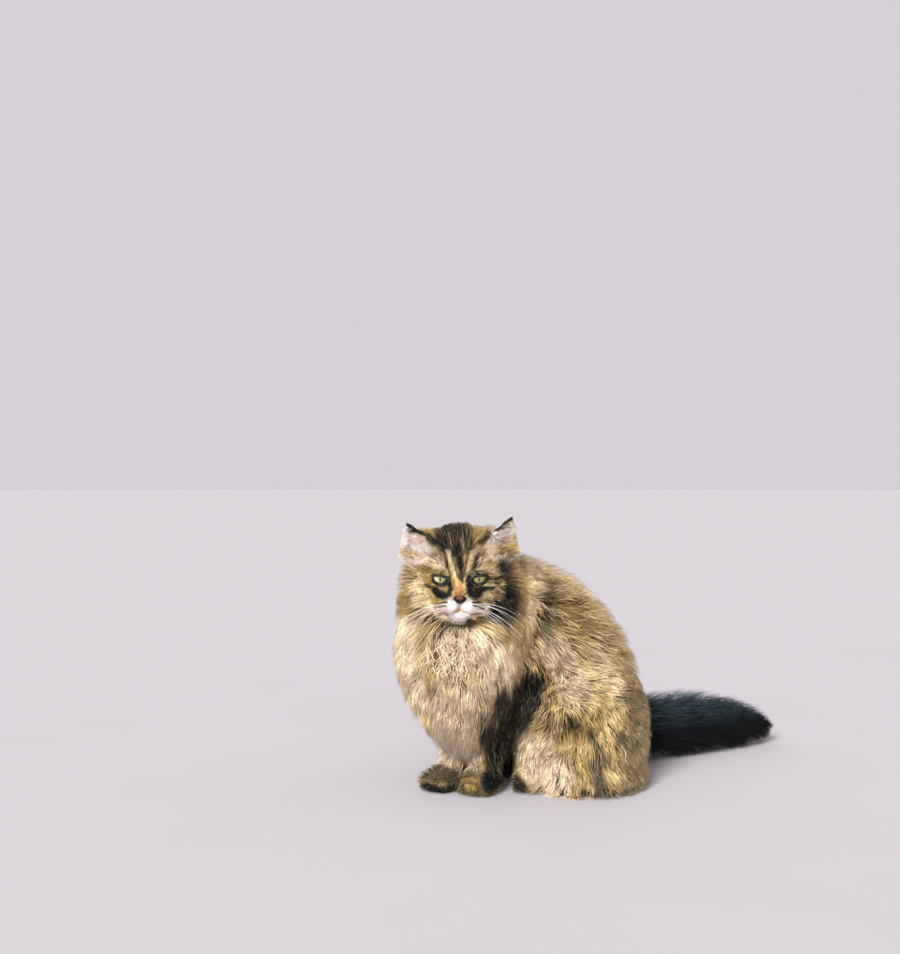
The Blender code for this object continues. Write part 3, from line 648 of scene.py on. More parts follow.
def ear_flesh(side):
    """A thin cupped blade, as a fan of runs from its base to its tip."""
    inner, outer, tip = ear_corners(side)
    masses = []
    for step in range(9):
        share = step / 8
        cup = Vector((0.0, EAR_CUP * math.sin(math.pi * share), 0.0))
        base = inner.lerp(outer, share) + cup
        half_way = base.lerp(tip, 0.5) + cup * 0.12
        rows = [(*base, EAR_FLESH[0]), (*half_way, EAR_FLESH[1]), (*tip, EAR_FLESH[2])]
        masses += run(rows, 16)
    return masses


def paw_flesh(side):
    """A broad forepaw with four toes."""
    back, left, yaw = FOREPAW[side]
    centre = body_place(back, left, 0.0115)
    masses = [(centre, FOREPAW_SIZE, -yaw)]
    turn = Matrix.Rotation(-yaw, 3, "Z")
    for toe in (-1.5, -0.5, 0.5, 1.5):
        reach = Vector((TOE_SPACING * toe, -TOE_REACH + TOE_ARC * abs(toe), -0.0010))
        masses.append((centre + turn @ reach, TOE_SIZE, -yaw))
    return masses


def tail_run(steps):
    """Balls along the tail."""
    return run([(*(FORELEGS + Vector((x, y, z))), radius) for x, y, z, radius in TAIL], steps)


@functools.lru_cache(maxsize=None)
def flesh():
    """All the masses of the flesh, by the part of the body that they make."""
    head = [(head_place(place), size, 0.0) for place, size in HEAD_MIDDLE_FLESH]
    for place, size in HEAD_PAIRED_FLESH:
        head += [(head_place(place, side), size, 0.0) for _, side in SIDES]
    parts = {"head": head}
    parts["neck"] = [(HEAD + THROAT[0], THROAT[1], 0.0)] + body_run(SPINE[:3], 6)[:4]
    parts["trunk"] = body_run(SPINE, 18)[5:] + [(body_place(*BELLY[0]), BELLY[1], -BODY_YAW)]
    parts["chest"] = body_run(CHEST, 9)
    parts["tail"] = tail_run(30)
    for name, side in SIDES:
        parts["ear_" + name] = ear_flesh(side)
        parts["foreleg_" + name] = body_run(FORELEG[side], 12)
        parts["forepaw_" + name] = paw_flesh(side)
        parts["hind_paw_" + name] = body_run(HIND_PAW, 8, side)
        parts["haunch_" + name] = [
            (body_place(back, side * out, up), size, -BODY_YAW)
            for back, out, up, size in (HAUNCH, THIGH)]
    return parts


def add_object(name, mesh):
    """Links new data to the scene as an object."""
    piece = bpy.data.objects.new(name, mesh)
    bpy.context.scene.collection.objects.link(piece)
    return piece


def mesh_of(shape, name):
    """A new mesh from a bmesh, which is freed."""
    mesh = bpy.data.meshes.new(name)
    shape.to_mesh(mesh)
    shape.free()
    return mesh


def made_from(piece):
    """The mesh that a piece's modifiers or bevel make of it."""
    bpy.context.view_layer.update()
    graph = bpy.context.evaluated_depsgraph_get()
    return bpy.data.meshes.new_from_object(piece.evaluated_get(graph))


def settle(piece):
    """Makes a piece's mesh what its modifiers make of it."""
    made = made_from(piece)
    piece.modifiers.clear()
    spent = piece.data
    piece.data = made
    bpy.data.meshes.remove(spent)


def close_over(piece, voxel, turns):
    """One smooth closed surface over all that a mesh holds."""
    close = piece.modifiers.new("close", "REMESH")
    close.mode = "VOXEL"
    close.voxel_size = voxel
    soften = piece.modifiers.new("soften", "SMOOTH")
    soften.factor = 0.5
    soften.iterations = turns
    settle(piece)


def places_of(mesh):
    """A mesh's vertices as an array."""
    places = np.empty(len(mesh.vertices) * 3, np.float32)
    mesh.vertices.foreach_get("co", places)
    return places.reshape(-1, 3).astype(float)


def floats(values):
    """Numbers in the one flat row that Blender takes."""
    return np.ascontiguousarray(values, np.float32).ravel()


def move_to(mesh, places):
    """Moves a mesh's vertices to new places."""
    mesh.vertices.foreach_set("co", floats(places))
    mesh.update()


def triangles_of(mesh):
    """A mesh's triangles as rows of vertex numbers."""
    mesh.calc_loop_triangles()
    corners = np.empty(len(mesh.loop_triangles) * 3, np.int32)
    mesh.loop_triangles.foreach_get("vertices", corners)
    return corners.reshape(-1, 3)


@functools.lru_cache(maxsize=None)
def outline():
    """The outer form of the coat down to the floor, as the solids give it, ready to be searched."""
    form = bmesh.new()
    for node in frame["nodes"].values():
        form.from_mesh(node.data)
    bmesh.ops.remove_doubles(form, verts=form.verts[:], dist=1e-6)
    piece = add_object("outline", mesh_of(form, "outline"))
    close_over(piece, *OUTLINE_SURFACE)
    places = places_of(piece.data)
    triangles = triangles_of(piece.data)
    raised = places[triangles][:, :, 2].max(axis=1) > RESTING
    tree = BVHTree.FromPolygons(places.tolist(), triangles[raised].tolist())
    bpy.data.objects.remove(piece, do_unlink=True)
    return tree


def tree_of(places):
    """Points ready to be searched."""
    tree = KDTree(len(places))
    for index, place in enumerate(places.tolist()):
        tree.insert(place, index)
    tree.balance()
    return tree


def nearest(tree, places):
    """Nearest points on a surface, its normals there and the distances."""
    found = np.empty((len(places), 7))
    search = tree.find_nearest
    for index, place in enumerate(places.tolist()):
        point, normal, _, distance = search(place)
        found[index] = (*point, *normal, distance)
    return found[:, :3], found[:, 3:6], found[:, 6]


def unit(vectors):
    """Rows of numbers brought to length 1."""
    return vectors / np.maximum(np.linalg.norm(vectors, axis=-1, keepdims=True), 1e-9)


def dots(first, second):
    """The dot product of each row with its fellow."""
    return (first * second).sum(axis=1)


def smooth_step(low, high, value):
    """0 at low and 1 at high, easing in and out between them."""
    t = np.clip((value - low) / (high - low), 0.0, 1.0)
    return t * t * (3.0 - 2.0 * t)


def lid_share(places, side):
    """Below 1 where a point, seen from the front, lies between the lids."""
    away = places - np.array(EYE[side])
    across = away[:, 0] * side
    up = away[:, 2] - math.tan(LID_SLANT) * across
    power = np.where(up > 0, UPPER_LID_FLATNESS, 2.0)
    rise = np.where(up > 0, UPPER_LID_RISE, LOWER_LID_FALL)
    return (np.abs(across / LID_HALF_WIDTH) ** power + np.abs(up / rise) ** power) ** (1.0 / power)


def lid_line(side, grown=1.0):
    """Points along the edge of the lids, seen from the front, on the eyeball's surface."""
    points = []
    for step in range(LID_STEPS + 1):
        angle = 2 * math.pi * step / LID_STEPS
        upper = math.sin(angle) > 0
        flat = 2.0 / (UPPER_LID_FLATNESS if upper else 2.0)
        across = LID_HALF_WIDTH * math.copysign(abs(math.cos(angle)) ** flat, math.cos(angle))
        rise = UPPER_LID_RISE if upper else -LOWER_LID_FALL
        up = rise * abs(math.sin(angle)) ** flat + math.tan(LID_SLANT) * across
        out = EYE_RADIUS + LID_LINE_LIFT
        forward = math.sqrt(max(out * out - across * across - up * up, 1e-8))
        points.append(EYE[side] + Vector((side * across * grown, -forward, up * grown)))
    return points


def open_eyes(places):
    """Sinks the skin behind each eyeball between the lids, and lifts the lids over it."""
    for _, side in SIDES:
        eye = np.array(EYE[side])
        away = places - eye
        far = np.linalg.norm(away, axis=1)
        front = (away[:, 1] < 0.0) & (far < EYE_RADIUS * EYE_AREA)
        between = lid_share(places, side) < 1.0
        aim = away / np.maximum(far, 1e-6)[:, None]
        sunk = front & between
        places[sunk] = eye + aim[sunk] * (EYE_RADIUS - EYE_SINK)
        under = front & ~between & (far < EYE_RADIUS + LID_LIFT)
        places[under] = eye + aim[under] * (EYE_RADIUS + LID_LIFT)


def seat_nose(places):
    """Presses the skin back behind the nose leather."""
    share = np.linalg.norm((places - np.array(LEATHER_MIDDLE)) / np.array(LEATHER), axis=1)
    inside = (share < 1.0) & (places[:, 1] < NOSE.y + 0.003)
    places[inside, 1] += (1.0 - share[inside]) * NOSE_SEAT


def from_line(places, line):
    """Distance of each point from a line of points."""
    best = np.full(len(places), math.inf)
    line = np.asarray(line, float)
    for start, end in zip(line[:-1], line[1:]):
        along = end - start
        share = np.clip(((places - start) @ along) / max(along @ along, 1e-12), 0.0, 1.0)
        best = np.minimum(best, np.linalg.norm(places - start - share[:, None] * along, axis=1))
    return best


def from_mouth(places):
    """Distance from the mouth's line, seen from the front."""
    flat = places[:, [0, 2]] - np.array((HEAD.x, HEAD.z))
    near = np.minimum(from_line(flat, MOUTH[0]), from_line(flat, MOUTH[1]))
    return np.where(places[:, 1] < HEAD.y - 0.030, near, math.inf)


def crease_mouth(places):
    """The groove below the nose and the two curves of the mouth."""
    depth = np.exp(-(from_mouth(places) / MOUTH_WIDTH) ** 2)
    places[:, 1] += MOUTH_DEPTH * depth


def raise_skin():
    """The whole skin as one closed mesh, finest in the face."""
    unit_shape = bmesh.new()
    bmesh.ops.create_icosphere(unit_shape, subdivisions=3, radius=1.0)
    unit_mesh = mesh_of(unit_shape, "unit_ball")
    form = bmesh.new()
    for masses in flesh().values():
        for centre, size, turn in masses:
            ball = unit_mesh.copy()
            place = Matrix.Translation(centre) @ Matrix.Rotation(turn, 4, "Z")
            ball.transform(place @ Matrix.Diagonal((*size, 1.0)))
            form.from_mesh(ball)
            bpy.data.meshes.remove(ball)
    bpy.data.meshes.remove(unit_mesh)
    skin = add_object("skin", mesh_of(form, "skin"))
    close_over(skin, *SKIN_SURFACE)
    away = np.linalg.norm(places_of(skin.data) - np.array(FINE_SKIN), axis=1)
    spare = skin.vertex_groups.new(name="away_from_face")
    for level in range(11):
        band = np.nonzero(np.rint(10 * smooth_step(*FINE_SKIN_REACH, away)) == level)[0]
        spare.add(band.tolist(), level / 10, "REPLACE")
    thin = skin.modifiers.new("thin", "DECIMATE")
    thin.ratio = SKIN_TRIANGLES / (2 * len(skin.data.polygons))
    thin.vertex_group = spare.name
    thin.vertex_group_factor = 0.6
    settle(skin)
    skin.vertex_groups.clear()
    places = places_of(skin.data)
    crease_mouth(places)
    seat_nose(places)
    open_eyes(places)
    places[:, 2] = np.maximum(places[:, 2], SKIN_GAP)
    move_to(skin.data, places)
    skin.data.shade_smooth()
    return skin


def on_outline(pixel):
    """The point of the coat's outer form that a point of the picture shows."""
    across = (pixel[0] - PICTURE_SIZE[0] / 2) / PIXELS_PER_SLOPE
    up = (PICTURE_SIZE[1] / 2 - pixel[1]) / PIXELS_PER_SLOPE
    return along_sight(CAMERA + Vector((across, 1.0, up)) * (HEAD.y - CAMERA.y))


def along_sight(point):
    """Where the line from the camera through a point meets the coat's outer form."""
    found, _, _, _ = outline().ray_cast(CAMERA, (point - CAMERA).normalized())
    return point if found is None else found


def over_body(point):
    """A point mirrored from one side of the body to the other."""
    return point - LEFTWARD * 2.0 * (point - FORELEGS).dot(LEFTWARD)


@functools.lru_cache(maxsize=None)
def mark_lines():
    """Every mark as its kind, half width, strength and line of points in space."""
    lines = []
    for kind, width, strength, pixels in FACE_MARKS + CHEST_MARKS + FLANK_MARKS + FORELEG_MARKS:
        lines.append((kind, width, strength, np.array([on_outline(pixel) for pixel in pixels])))
    for kind, width, strength, pixels in FLANK_MARKS:
        mirrored = [over_body(Vector(on_outline(pixel))) for pixel in pixels]
        lines.append((kind, width, strength, np.array(mirrored)))
    width, grown, first = LID_RING
    for _, side in SIDES:
        ring = [along_sight(point) for point in lid_line(side, grown)[first:]]
        lines.append(("soot", width, 1.0, np.array(ring)))
    # Painted shade: black along the fold between foreleg and haunch on both sides
    for _, side in SIDES:
        lines.append(("soot", FOLD_SHADE_WIDTH, 1.0, np.array(body_points(FOLD_SHADE, side))))
    width, strength, lift = BACK_STRIPE
    spine = [body_place(back, left, up + radius + lift) for back, left, up, radius in SPINE]
    lines.append(("stripe", width, strength, np.array(spine)))
    return lines


def marks_at(places, waver=None):
    """How much of each kind of mark there is at points on the coat's outer form."""
    marks = {kind: np.zeros(len(places)) for kind in KINDS}
    for kind, width, strength, line in mark_lines():
        near = from_line(places * LESS_DEEP, line * LESS_DEEP) / width
        if waver is not None:
            near = near * (1.0 + waver)
        amount = strength * (1.0 - smooth_step(*MARK_EDGE, near))
        for other in KINDS:
            if other != kind:
                marks[other] *= 1.0 - amount
        marks[kind] = 1.0 - (1.0 - marks[kind]) * (1.0 - amount)
    return marks


def write_looks(mesh, places, along, tone, marks):
    """Stores what the materials read: where, how far along the hair, its tone and its marks."""
    where = mesh.attributes.new("place", "FLOAT_VECTOR", "POINT")
    where.data.foreach_set("vector", floats(places))
    looks = {"along": along, "tone": tone, **{"mark_" + kind: marks[kind] for kind in marks}}
    for name, values in looks.items():
        layer = mesh.attributes.new(name, "FLOAT", "POINT")
        layer.data.foreach_set("value", floats(values))


def mark_skin(skin):
    """Stores the markings on the skin, darkened as painted shade except in the face and ears, and dark
    round the eyes.
    """
    places = places_of(skin.data)
    surface, _, _ = nearest(outline(), places)
    in_face = 1.0 - smooth_step(0.055, 0.085, np.linalg.norm(places - np.array(NOSE), axis=1))
    marks = marks_at(surface)
    names, distances = part_distances(places)
    part = np.array(names)[distances.argmin(axis=1)]
    marks["soot"] = np.where(part == "tail", 1.0, marks["soot"])
    in_face = np.maximum(in_face, np.isin(part, ("ear_left", "ear_right")))
    for _, side in SIDES:
        front = places[:, 1] < EYE[side].y + 0.006
        ring = (1.0 - smooth_step(*EYE_RING, lid_share(places, side))) * front
        for kind in KINDS:
            marks[kind] = marks[kind] * (1.0 - ring) + (ring if kind == "soot" else 0.0)
    # The skin counts as near the hairs' roots, and so is darkened as painted shade, except in the face
    # and ears
    write_looks(skin.data, surface, 0.36 + 0.29 * in_face, np.zeros(len(places)), marks)


class Nodes:
    """A material's nodes, added and joined in few words."""

    def __init__(self, name):
        self.material = bpy.data.materials.new(name)
        self.material.use_nodes = True
        self.tree = self.material.node_tree
        self.shader = self.tree.nodes["Principled BSDF"]

    def add(self, kind, inputs=(), **settings):
        """A new node, whose inputs are values or other nodes' outputs."""
        node = self.tree.nodes.new(kind)
        for setting, value in settings.items():
            setattr(node, setting, value)
        for key, value in dict(inputs).items():
            if isinstance(value, bpy.types.NodeSocket):
                self.tree.links.new(value, node.inputs[key])
            else:
                node.inputs[key].default_value = value
        return node

    def attribute(self, name, output="Fac"):
        """What a mesh stores under a name."""
        return self.add("ShaderNodeAttribute", attribute_name=name).outputs[output]

    def on_piece(self):
        """Where a point lies on its piece."""
        return self.add("ShaderNodeTexCoord").outputs["Object"]

    def around(self, middle):
        """How far across, back and up a point lies from a middle."""
        centre = self.add("ShaderNodeMapping", {"Vector": self.on_piece(), "Location": -middle})
        return self.add("ShaderNodeSeparateXYZ", {0: centre.outputs[0]}).outputs

    def maths(self, operation, first, second=0.0, third=0.0):
        """One step of arithmetic."""
        node = self.add("ShaderNodeMath", {0: first, 1: second, 2: third}, operation=operation)
        return node.outputs[0]

    def times(self, first, second):
        """The product of two values."""
        return self.maths("MULTIPLY", first, second)

    def long_side(self, first, second):
        """The long side over two at a right angle."""
        squares = self.maths("ADD", self.times(first, first), self.times(second, second))
        return self.maths("SQRT", squares)

    def shaded(self, colour, shade):
        """A colour made darker or lighter by a value."""
        grey = self.add("ShaderNodeCombineColor", {0: shade, 1: shade, 2: shade}).outputs[0]
        return self.mix(1.0, colour, grey, "MULTIPLY")

    def noise(self, where, scale, detail=2.0, low=0.35, high=0.65):
        """Noise spread over 0 to 1."""
        node = self.add("ShaderNodeTexNoise", {"Vector": where, "Scale": scale, "Detail": detail})
        return self.spread(node.outputs["Fac"], low, high)

    def spread(self, value, low, high, to_low=0.0, to_high=1.0):
        """A value's range brought to another."""
        node = self.add("ShaderNodeMapRange", {"Value": value, 1: low, 2: high, 3: to_low, 4: to_high})
        return node.outputs[0]

    def mix(self, amount, first, second, blend="MIX"):
        """The second colour over the first."""
        node = self.add("ShaderNodeMix", data_type="RGBA", blend_type=blend)
        for index, value in ((0, amount), (6, first), (7, second)):
            if isinstance(value, bpy.types.NodeSocket):
                self.tree.links.new(value, node.inputs[index])
            elif index == 0:
                node.inputs[index].default_value = value
            else:
                node.inputs[index].default_value = (*value, 1.0)
        return node.outputs[2]

    def finish(self, colour, roughness, specular=0.5, bump=None, depth=0.0005):
        """Joins the colour, gloss and fine relief to the shader."""
        self.tree.links.new(colour, self.shader.inputs["Base Color"])
        if isinstance(roughness, bpy.types.NodeSocket):
            self.tree.links.new(roughness, self.shader.inputs["Roughness"])
        else:
            self.shader.inputs["Roughness"].default_value = roughness
        self.shader.inputs["Specular IOR Level"].default_value = specular
        if bump is not None:
            node = self.add("ShaderNodeBump", {"Strength": 0.6, "Distance": depth, "Height": bump})
            self.tree.links.new(node.outputs[0], self.shader.inputs["Normal"])
        return self.material


def coat_colour(nodes, coat, dark_roots_and_shade, pale_tip, tail_sheen=False):
    """The markings, shared by the skin and every tuft, with roots darkened partly as painted shade and,
    on the tail, painted sheen on top.
    """
    where = nodes.attribute("place", "Vector")
    along = nodes.attribute("along")
    tone = nodes.attribute("tone")
    ground = coat.golden
    for colour, scale, detail, low, high, most in GROUND_PATCHES:
        amount = nodes.times(nodes.noise(where, scale, detail, low, high), most)
        ground = nodes.mix(amount, ground, getattr(coat, colour))
    for colour, low, high, most in GROUND_TONES:
        ground = nodes.mix(nodes.spread(tone, low, high, 0.0, most), ground, getattr(coat, colour))
    for kind in KINDS:
        ground = nodes.mix(nodes.attribute("mark_" + kind), ground, getattr(coat, kind))
    lit = nodes.spread(nodes.attribute("mark_soot"), 0.0, 1.0, 1.0, 0.16)
    pale = nodes.times(nodes.spread(tone, 0.55, 1.0, 0.0, 0.40), lit)
    ground = nodes.mix(pale, ground, coat.cream)
    ground = nodes.mix(nodes.spread(tone, -0.60, -1.0, 0.0, 0.30), ground, coat.stripe)
    flecks = nodes.noise(where, 110.0, 2.0, 0.38, 0.66)
    lighter = nodes.maths("MULTIPLY_ADD", tone, 0.30, nodes.maths("MULTIPLY_ADD", flecks, 0.25, 0.85))
    ground = nodes.shaded(ground, lighter)
    # Darker towards the roots: partly the hair's own colour, partly painted shade in the partings between
    # locks
    ground = nodes.shaded(ground, nodes.spread(along, 0.0, 0.65, dark_roots_and_shade, 1.0))
    tip = nodes.times(nodes.spread(along, 0.50, 1.0), pale_tip)
    # Painted sheen: bluish tips only high on the tail, where light catches its top
    if tail_sheen:
        height = nodes.add("ShaderNodeSeparateXYZ", {0: where}).outputs[2]
        tip = nodes.times(tip, nodes.spread(height, 0.045, 0.085))
        return nodes.mix(tip, ground, coat.tail_sheen)
    return nodes.mix(nodes.times(tip, lit), ground, nodes.mix(0.5, ground, coat.cream))


def coat_material(name, dark_roots_and_shade, pale_tip, tail_sheen=False):
    """Hair with the coat's markings, darker at its roots, partly as painted shade in the partings, and
    paler at its tips; on the tail, with painted sheen on top.
    """
    nodes = Nodes(name)
    colour = coat_colour(nodes, bpy.context.scene.cat_coat, dark_roots_and_shade, pale_tip, tail_sheen)
    return nodes.finish(colour, 0.7, 0.10)


def skin_material():
    """Short flat underfur over the skin, with the coat's own markings, darkened under the long coat as
    painted shade in the gaps between tufts.
    """
    nodes = Nodes("skin")
    colour = coat_colour(nodes, bpy.context.scene.cat_coat, 0.30, 0.0)
    where = nodes.attribute("place", "Vector")
    fine = nodes.add("ShaderNodeTexNoise", {"Vector": where, "Scale": 900.0, "Detail": 3.0})
    return nodes.finish(colour, 0.8, 0.10, fine.outputs["Fac"], 0.0006)


def ready(piece, material, replaced=()):
    """Gives the piece its material, rides it on the body and hides the solids that it stands for."""
    piece.data.materials.clear()
    piece.data.materials.append(material)
    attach(piece, "root")
    if replaced:
        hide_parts(*replaced)
    return piece


def part_distances(places):
    """How far each point lies from each part of the flesh, roughly, in metres."""
    names = list(flesh())
    distances = np.empty((len(places), len(names)))
    for column, name in enumerate(names):
        best = np.full(len(places), 9.0)
        for centre, size, turn in flesh()[name]:
            away = places - np.array(centre)
            cos, sin = math.cos(-turn), math.sin(-turn)
            x = away[:, 0] * cos - away[:, 1] * sin
            y = away[:, 0] * sin + away[:, 1] * cos
            scaled = np.sqrt((x / size[0]) ** 2 + (y / size[1]) ** 2 + (away[:, 2] / size[2]) ** 2)
            best = np.minimum(best, (scaled - 1.0) * min(size))
        distances[:, column] = best
    return names, distances


@functools.lru_cache(maxsize=None)
def skin_faces():
    """The skin's triangles: corners, middles, areas and part of the body."""
    mesh = bpy.data.objects["skin"].data
    corners = places_of(mesh)[triangles_of(mesh)]
    normals = np.cross(corners[:, 1] - corners[:, 0], corners[:, 2] - corners[:, 0])
    areas = np.linalg.norm(normals, axis=1) / 2
    names, distances = part_distances(corners.mean(axis=1))
    return corners, areas, unit(normals), np.array(names), distances.argmin(axis=1)


def of_front(middles):
    """True on the short-furred mask of the face."""
    away = middles - np.array(HEAD)
    across = away[:, 0] / MASK_HALF_WIDTH
    up = away[:, 2] / np.where(away[:, 2] > 0, MASK_RISE, MASK_FALL)
    return (away[:, 1] < MASK_FRONT) & (np.hypot(across, up) < 1.0)


def faces_of(name):
    """Which of the skin's triangles carry one part of the coat."""
    corners, _, _, names, part = skin_faces()
    groups, where = COATS[name].groups, COATS[name].where
    chosen = np.isin(names[part], groups)
    if where:
        front = of_front(corners.mean(axis=1))
        chosen &= front if where == "front" else ~front
    return np.nonzero(chosen)[0]


def lie_of_coat(at, shares, names):
    """Which way the fur runs at each point: each part's own way, blended by nearness."""
    backward = np.array(BACKWARD)
    down = np.array(DOWN)
    ways = {}
    nose = np.array(NOSE + Vector((0.0, -0.020, 0.004)))
    radial = unit(at - nose)
    below = smooth_step(0.030, -0.040, at[:, 2] - HEAD.z)
    outward = smooth_step(0.020, 0.070, np.abs(at[:, 0] - HEAD.x))
    ways["head"] = radial + down * (0.9 * below * outward)[:, None] + np.array((0.0, 0.35, 0.0))
    ways["neck"] = down * 0.95 + backward * 0.30 + unit(at - np.array(HEAD)) * 0.25
    ways["chest"] = down + unit(at - np.array(body_place(0.0, 0.01, 0.20))) * 0.15
    ways["trunk"] = down * 0.80 + backward * 0.55
    ways["tail"] = tail_way(at)
    for name, side in SIDES:
        inner, outer, tip = ear_corners(side)
        rise = np.array((tip - (inner + outer) / 2).normalized())
        ways["ear_" + name] = np.tile(rise + np.array((side * 0.35, 0.0, 0.0)), (len(at), 1))
        ways["foreleg_" + name] = np.tile(down, (len(at), 1))
        yaw = FOREPAW[side][2]
        toes = np.array((-math.sin(yaw), -math.cos(yaw), -0.45))
        ways["forepaw_" + name] = np.tile(toes, (len(at), 1))
        ways["hind_paw_" + name] = np.tile(-backward + down * 0.35, (len(at), 1))
        whorl = np.array(body_place(0.095, side * 0.100, 0.150))
        fan = unit(at - whorl) * 0.45 + down * 0.75 + backward * 0.08
        lower = smooth_step(0.155, 0.095, at[:, 2])[:, None]
        ways["haunch_" + name] = unit(ways["trunk"]) * (1.0 - lower) + fan * lower
    total = np.zeros_like(at)
    for column, name in enumerate(names):
        total += unit(ways[name]) * shares[:, column:column + 1]
    return unit(total)


def tail_way(at):
    """Along the tail, spreading from its middle line, more so at its tip."""
    middles = np.array([mass[0] for mass in flesh()["tail"]])
    onward = unit(np.gradient(middles, axis=0))
    which = np.linalg.norm(at[:, None, :] - middles[None, :, :], axis=2).argmin(axis=1)
    out = unit(at - middles[which])
    return onward[which] + out * (0.15 + 0.55 * smooth_step(0.75, 1.0, which / len(middles)))[:, None]


def drift(at):
    """A slow wander in the lie of the coat, the same wherever it is read."""
    rng = np.random.default_rng(DRIFT_SEED)
    total = np.zeros_like(at)
    for _ in range(DRIFT_WAVES):
        wave = unit(rng.normal(0.0, 1.0, 3)) * 2 * math.pi / rng.uniform(*DRIFT_LENGTHS)
        push = rng.normal(0.0, 1.0, 3)
        total += np.sin(at @ wave + rng.uniform(0.0, 2 * math.pi))[:, None] * push
    return total / math.sqrt(DRIFT_WAVES)


def lay_tufts(roots, lengths, coat, turns, under, name):
    """Points of each tuft: out of the skin, then along the outline under the lie of the coat."""
    down = np.array(DOWN)
    hanging = name in HANGING
    names, distances = part_distances(roots)
    shares = np.exp((distances.min(axis=1, keepdims=True) - distances) / LIE_BLEND)
    shares /= shares.sum(axis=1, keepdims=True)
    point, normal, depth = nearest(outline(), roots)
    start = -depth * np.sign(dots(point - roots, normal))
    end = np.where(under < 0.0, np.minimum(-under * depth, HIGHEST_STRAY), -under * depth)
    end = end + FLOOR_RISE * smooth_step(*NEAR_FLOOR, roots[:, 2])
    if hanging:
        end = end + HANGING_RISE
    paths = np.empty((len(roots), TUFT_STEPS, 3))
    paths[:, 0] = roots
    at = roots.copy()
    before = start
    stride = lengths / (TUFT_STEPS - 1)
    for step in range(1, TUFT_STEPS):
        t = step / (TUFT_STEPS - 1)
        goal = start + (end - start) * (1.0 - (1.0 - t) ** coat.climb)
        climb = np.clip(goal - before, -stride, stride)
        before = goal
        travel = np.sqrt(np.maximum(stride ** 2 - climb ** 2, (LEAST_TRAVEL * stride) ** 2))
        way = lie_of_coat(at, shares, names) + drift(at) * coat.wander + turns
        way = unit(way - normal * dots(way, normal)[:, None] * LEVELNESS)
        if name == "bib":
            low = smooth_step(*BIB_TURN, at[:, 2]) * BIB_FALL
            spread = down
        else:
            low = smooth_step(*HANGING_TURN, at[:, 2]) * (1.0 if hanging else 0.0)
            spread = unit(normal * FLAT) * HANGING.get(name, 0.0) + down * 0.45
        way = unit(way * (1.0 - low)[:, None] + spread * low[:, None])
        at = at + way * travel[:, None]
        point, normal, _ = nearest(outline(), at)
        shift = np.clip(goal - dots(at - point, normal), -stride * MOST_RISE, stride * MOST_RISE)
        if name == "bib":
            shift = np.where(shift < 0.0, shift * (1.0 - low), shift)
        at = at + normal * shift[:, None]
        if hanging:
            at[:, 2] = np.maximum(at[:, 2], FLOOR_LIFT)
        paths[:, step] = at
    return paths


def choose_leaders(roots, area, spacing, rng):
    """For each tuft, the middle tuft of the lock that it joins."""
    many = min(len(roots), max(2, int(area / spacing ** 2)))
    leaders = rng.permutation(len(roots))[:many]
    tree = tree_of(roots[leaders])
    scattered = roots + rng.normal(0.0, spacing * 0.12, roots.shape)
    return leaders[[tree.find(place)[1] for place in scattered.tolist()]]


def draw_together(paths, lead, amount, rng):
    """Pulls tufts towards the middle tuft of their lock, most at the tips."""
    share = (np.linspace(0.0, 1.0, paths.shape[1]) ** PULL_POWER)[None, :, None] * amount
    share = share * (0.70 + 0.30 * rng.random((len(paths), 1, 1)))
    return paths + (paths[lead] - paths) * share


def keep_clear(paths):
    """How much of each tuft can stay before it would lie over an eye or the nose leather."""
    count, steps, _ = paths.shape
    flat = paths.reshape(-1, 3)
    over = np.zeros(len(flat), bool)
    for _, side in SIDES:
        limit = np.where(flat[:, 2] > EYE[side].z, UPPER_CLEAR, LOWER_CLEAR)
        over |= (lid_share(flat, side) < limit) & (flat[:, 1] < EYE[side].y)
    nose = (flat - np.array(LEATHER_MIDDLE)) / np.array(LEATHER)
    over |= (np.hypot(nose[:, 0], nose[:, 2]) < NOSE_CLEAR) & (flat[:, 1] < NOSE.y)
    over = over.reshape(count, steps)
    first = np.where(over.any(axis=1), over.argmax(axis=1), steps)
    return np.clip((first - 0.6) / (steps - 1), 0.0, 1.0)


def above_floor(paths):
    """How much of each tuft can stay before it would go below the floor."""
    steps = paths.shape[1]
    height = paths[:, :, 2] - FLOOR_GAP
    below = height < 0.0
    first = np.clip(np.where(below.any(axis=1), below.argmax(axis=1), steps), 1, steps)
    rows = np.arange(len(paths))
    high = height[rows, first - 1]
    low = height[rows, np.minimum(first, steps - 1)]
    part = np.where(first < steps, high / np.maximum(high - low, 1e-6), 1.0)
    share = (first - 1 + np.clip(part, 0.0, 1.0)) / (steps - 1)
    return np.where(first < steps, np.where(height[:, 0] < 0.0, 0.0, share), 1.0)


def shorten(paths, share):
    """Each path cut at a share of its length."""
    count, steps, _ = paths.shape
    place = np.linspace(0.0, 1.0, steps)[None, :] * np.minimum(share, 1.0)[:, None] * (steps - 1)
    first = np.minimum(place.astype(int), steps - 2)
    part = (place - first)[:, :, None]
    rows = np.arange(count)[:, None]
    return paths[rows, first] * (1.0 - part) + paths[rows, first + 1] * part


def rings_of(steps):
    """For each point of a tuft's mesh, how far along the tuft it lies."""
    return np.concatenate([np.repeat(np.arange(steps - 1), 3), [steps - 1]]) / (steps - 1)


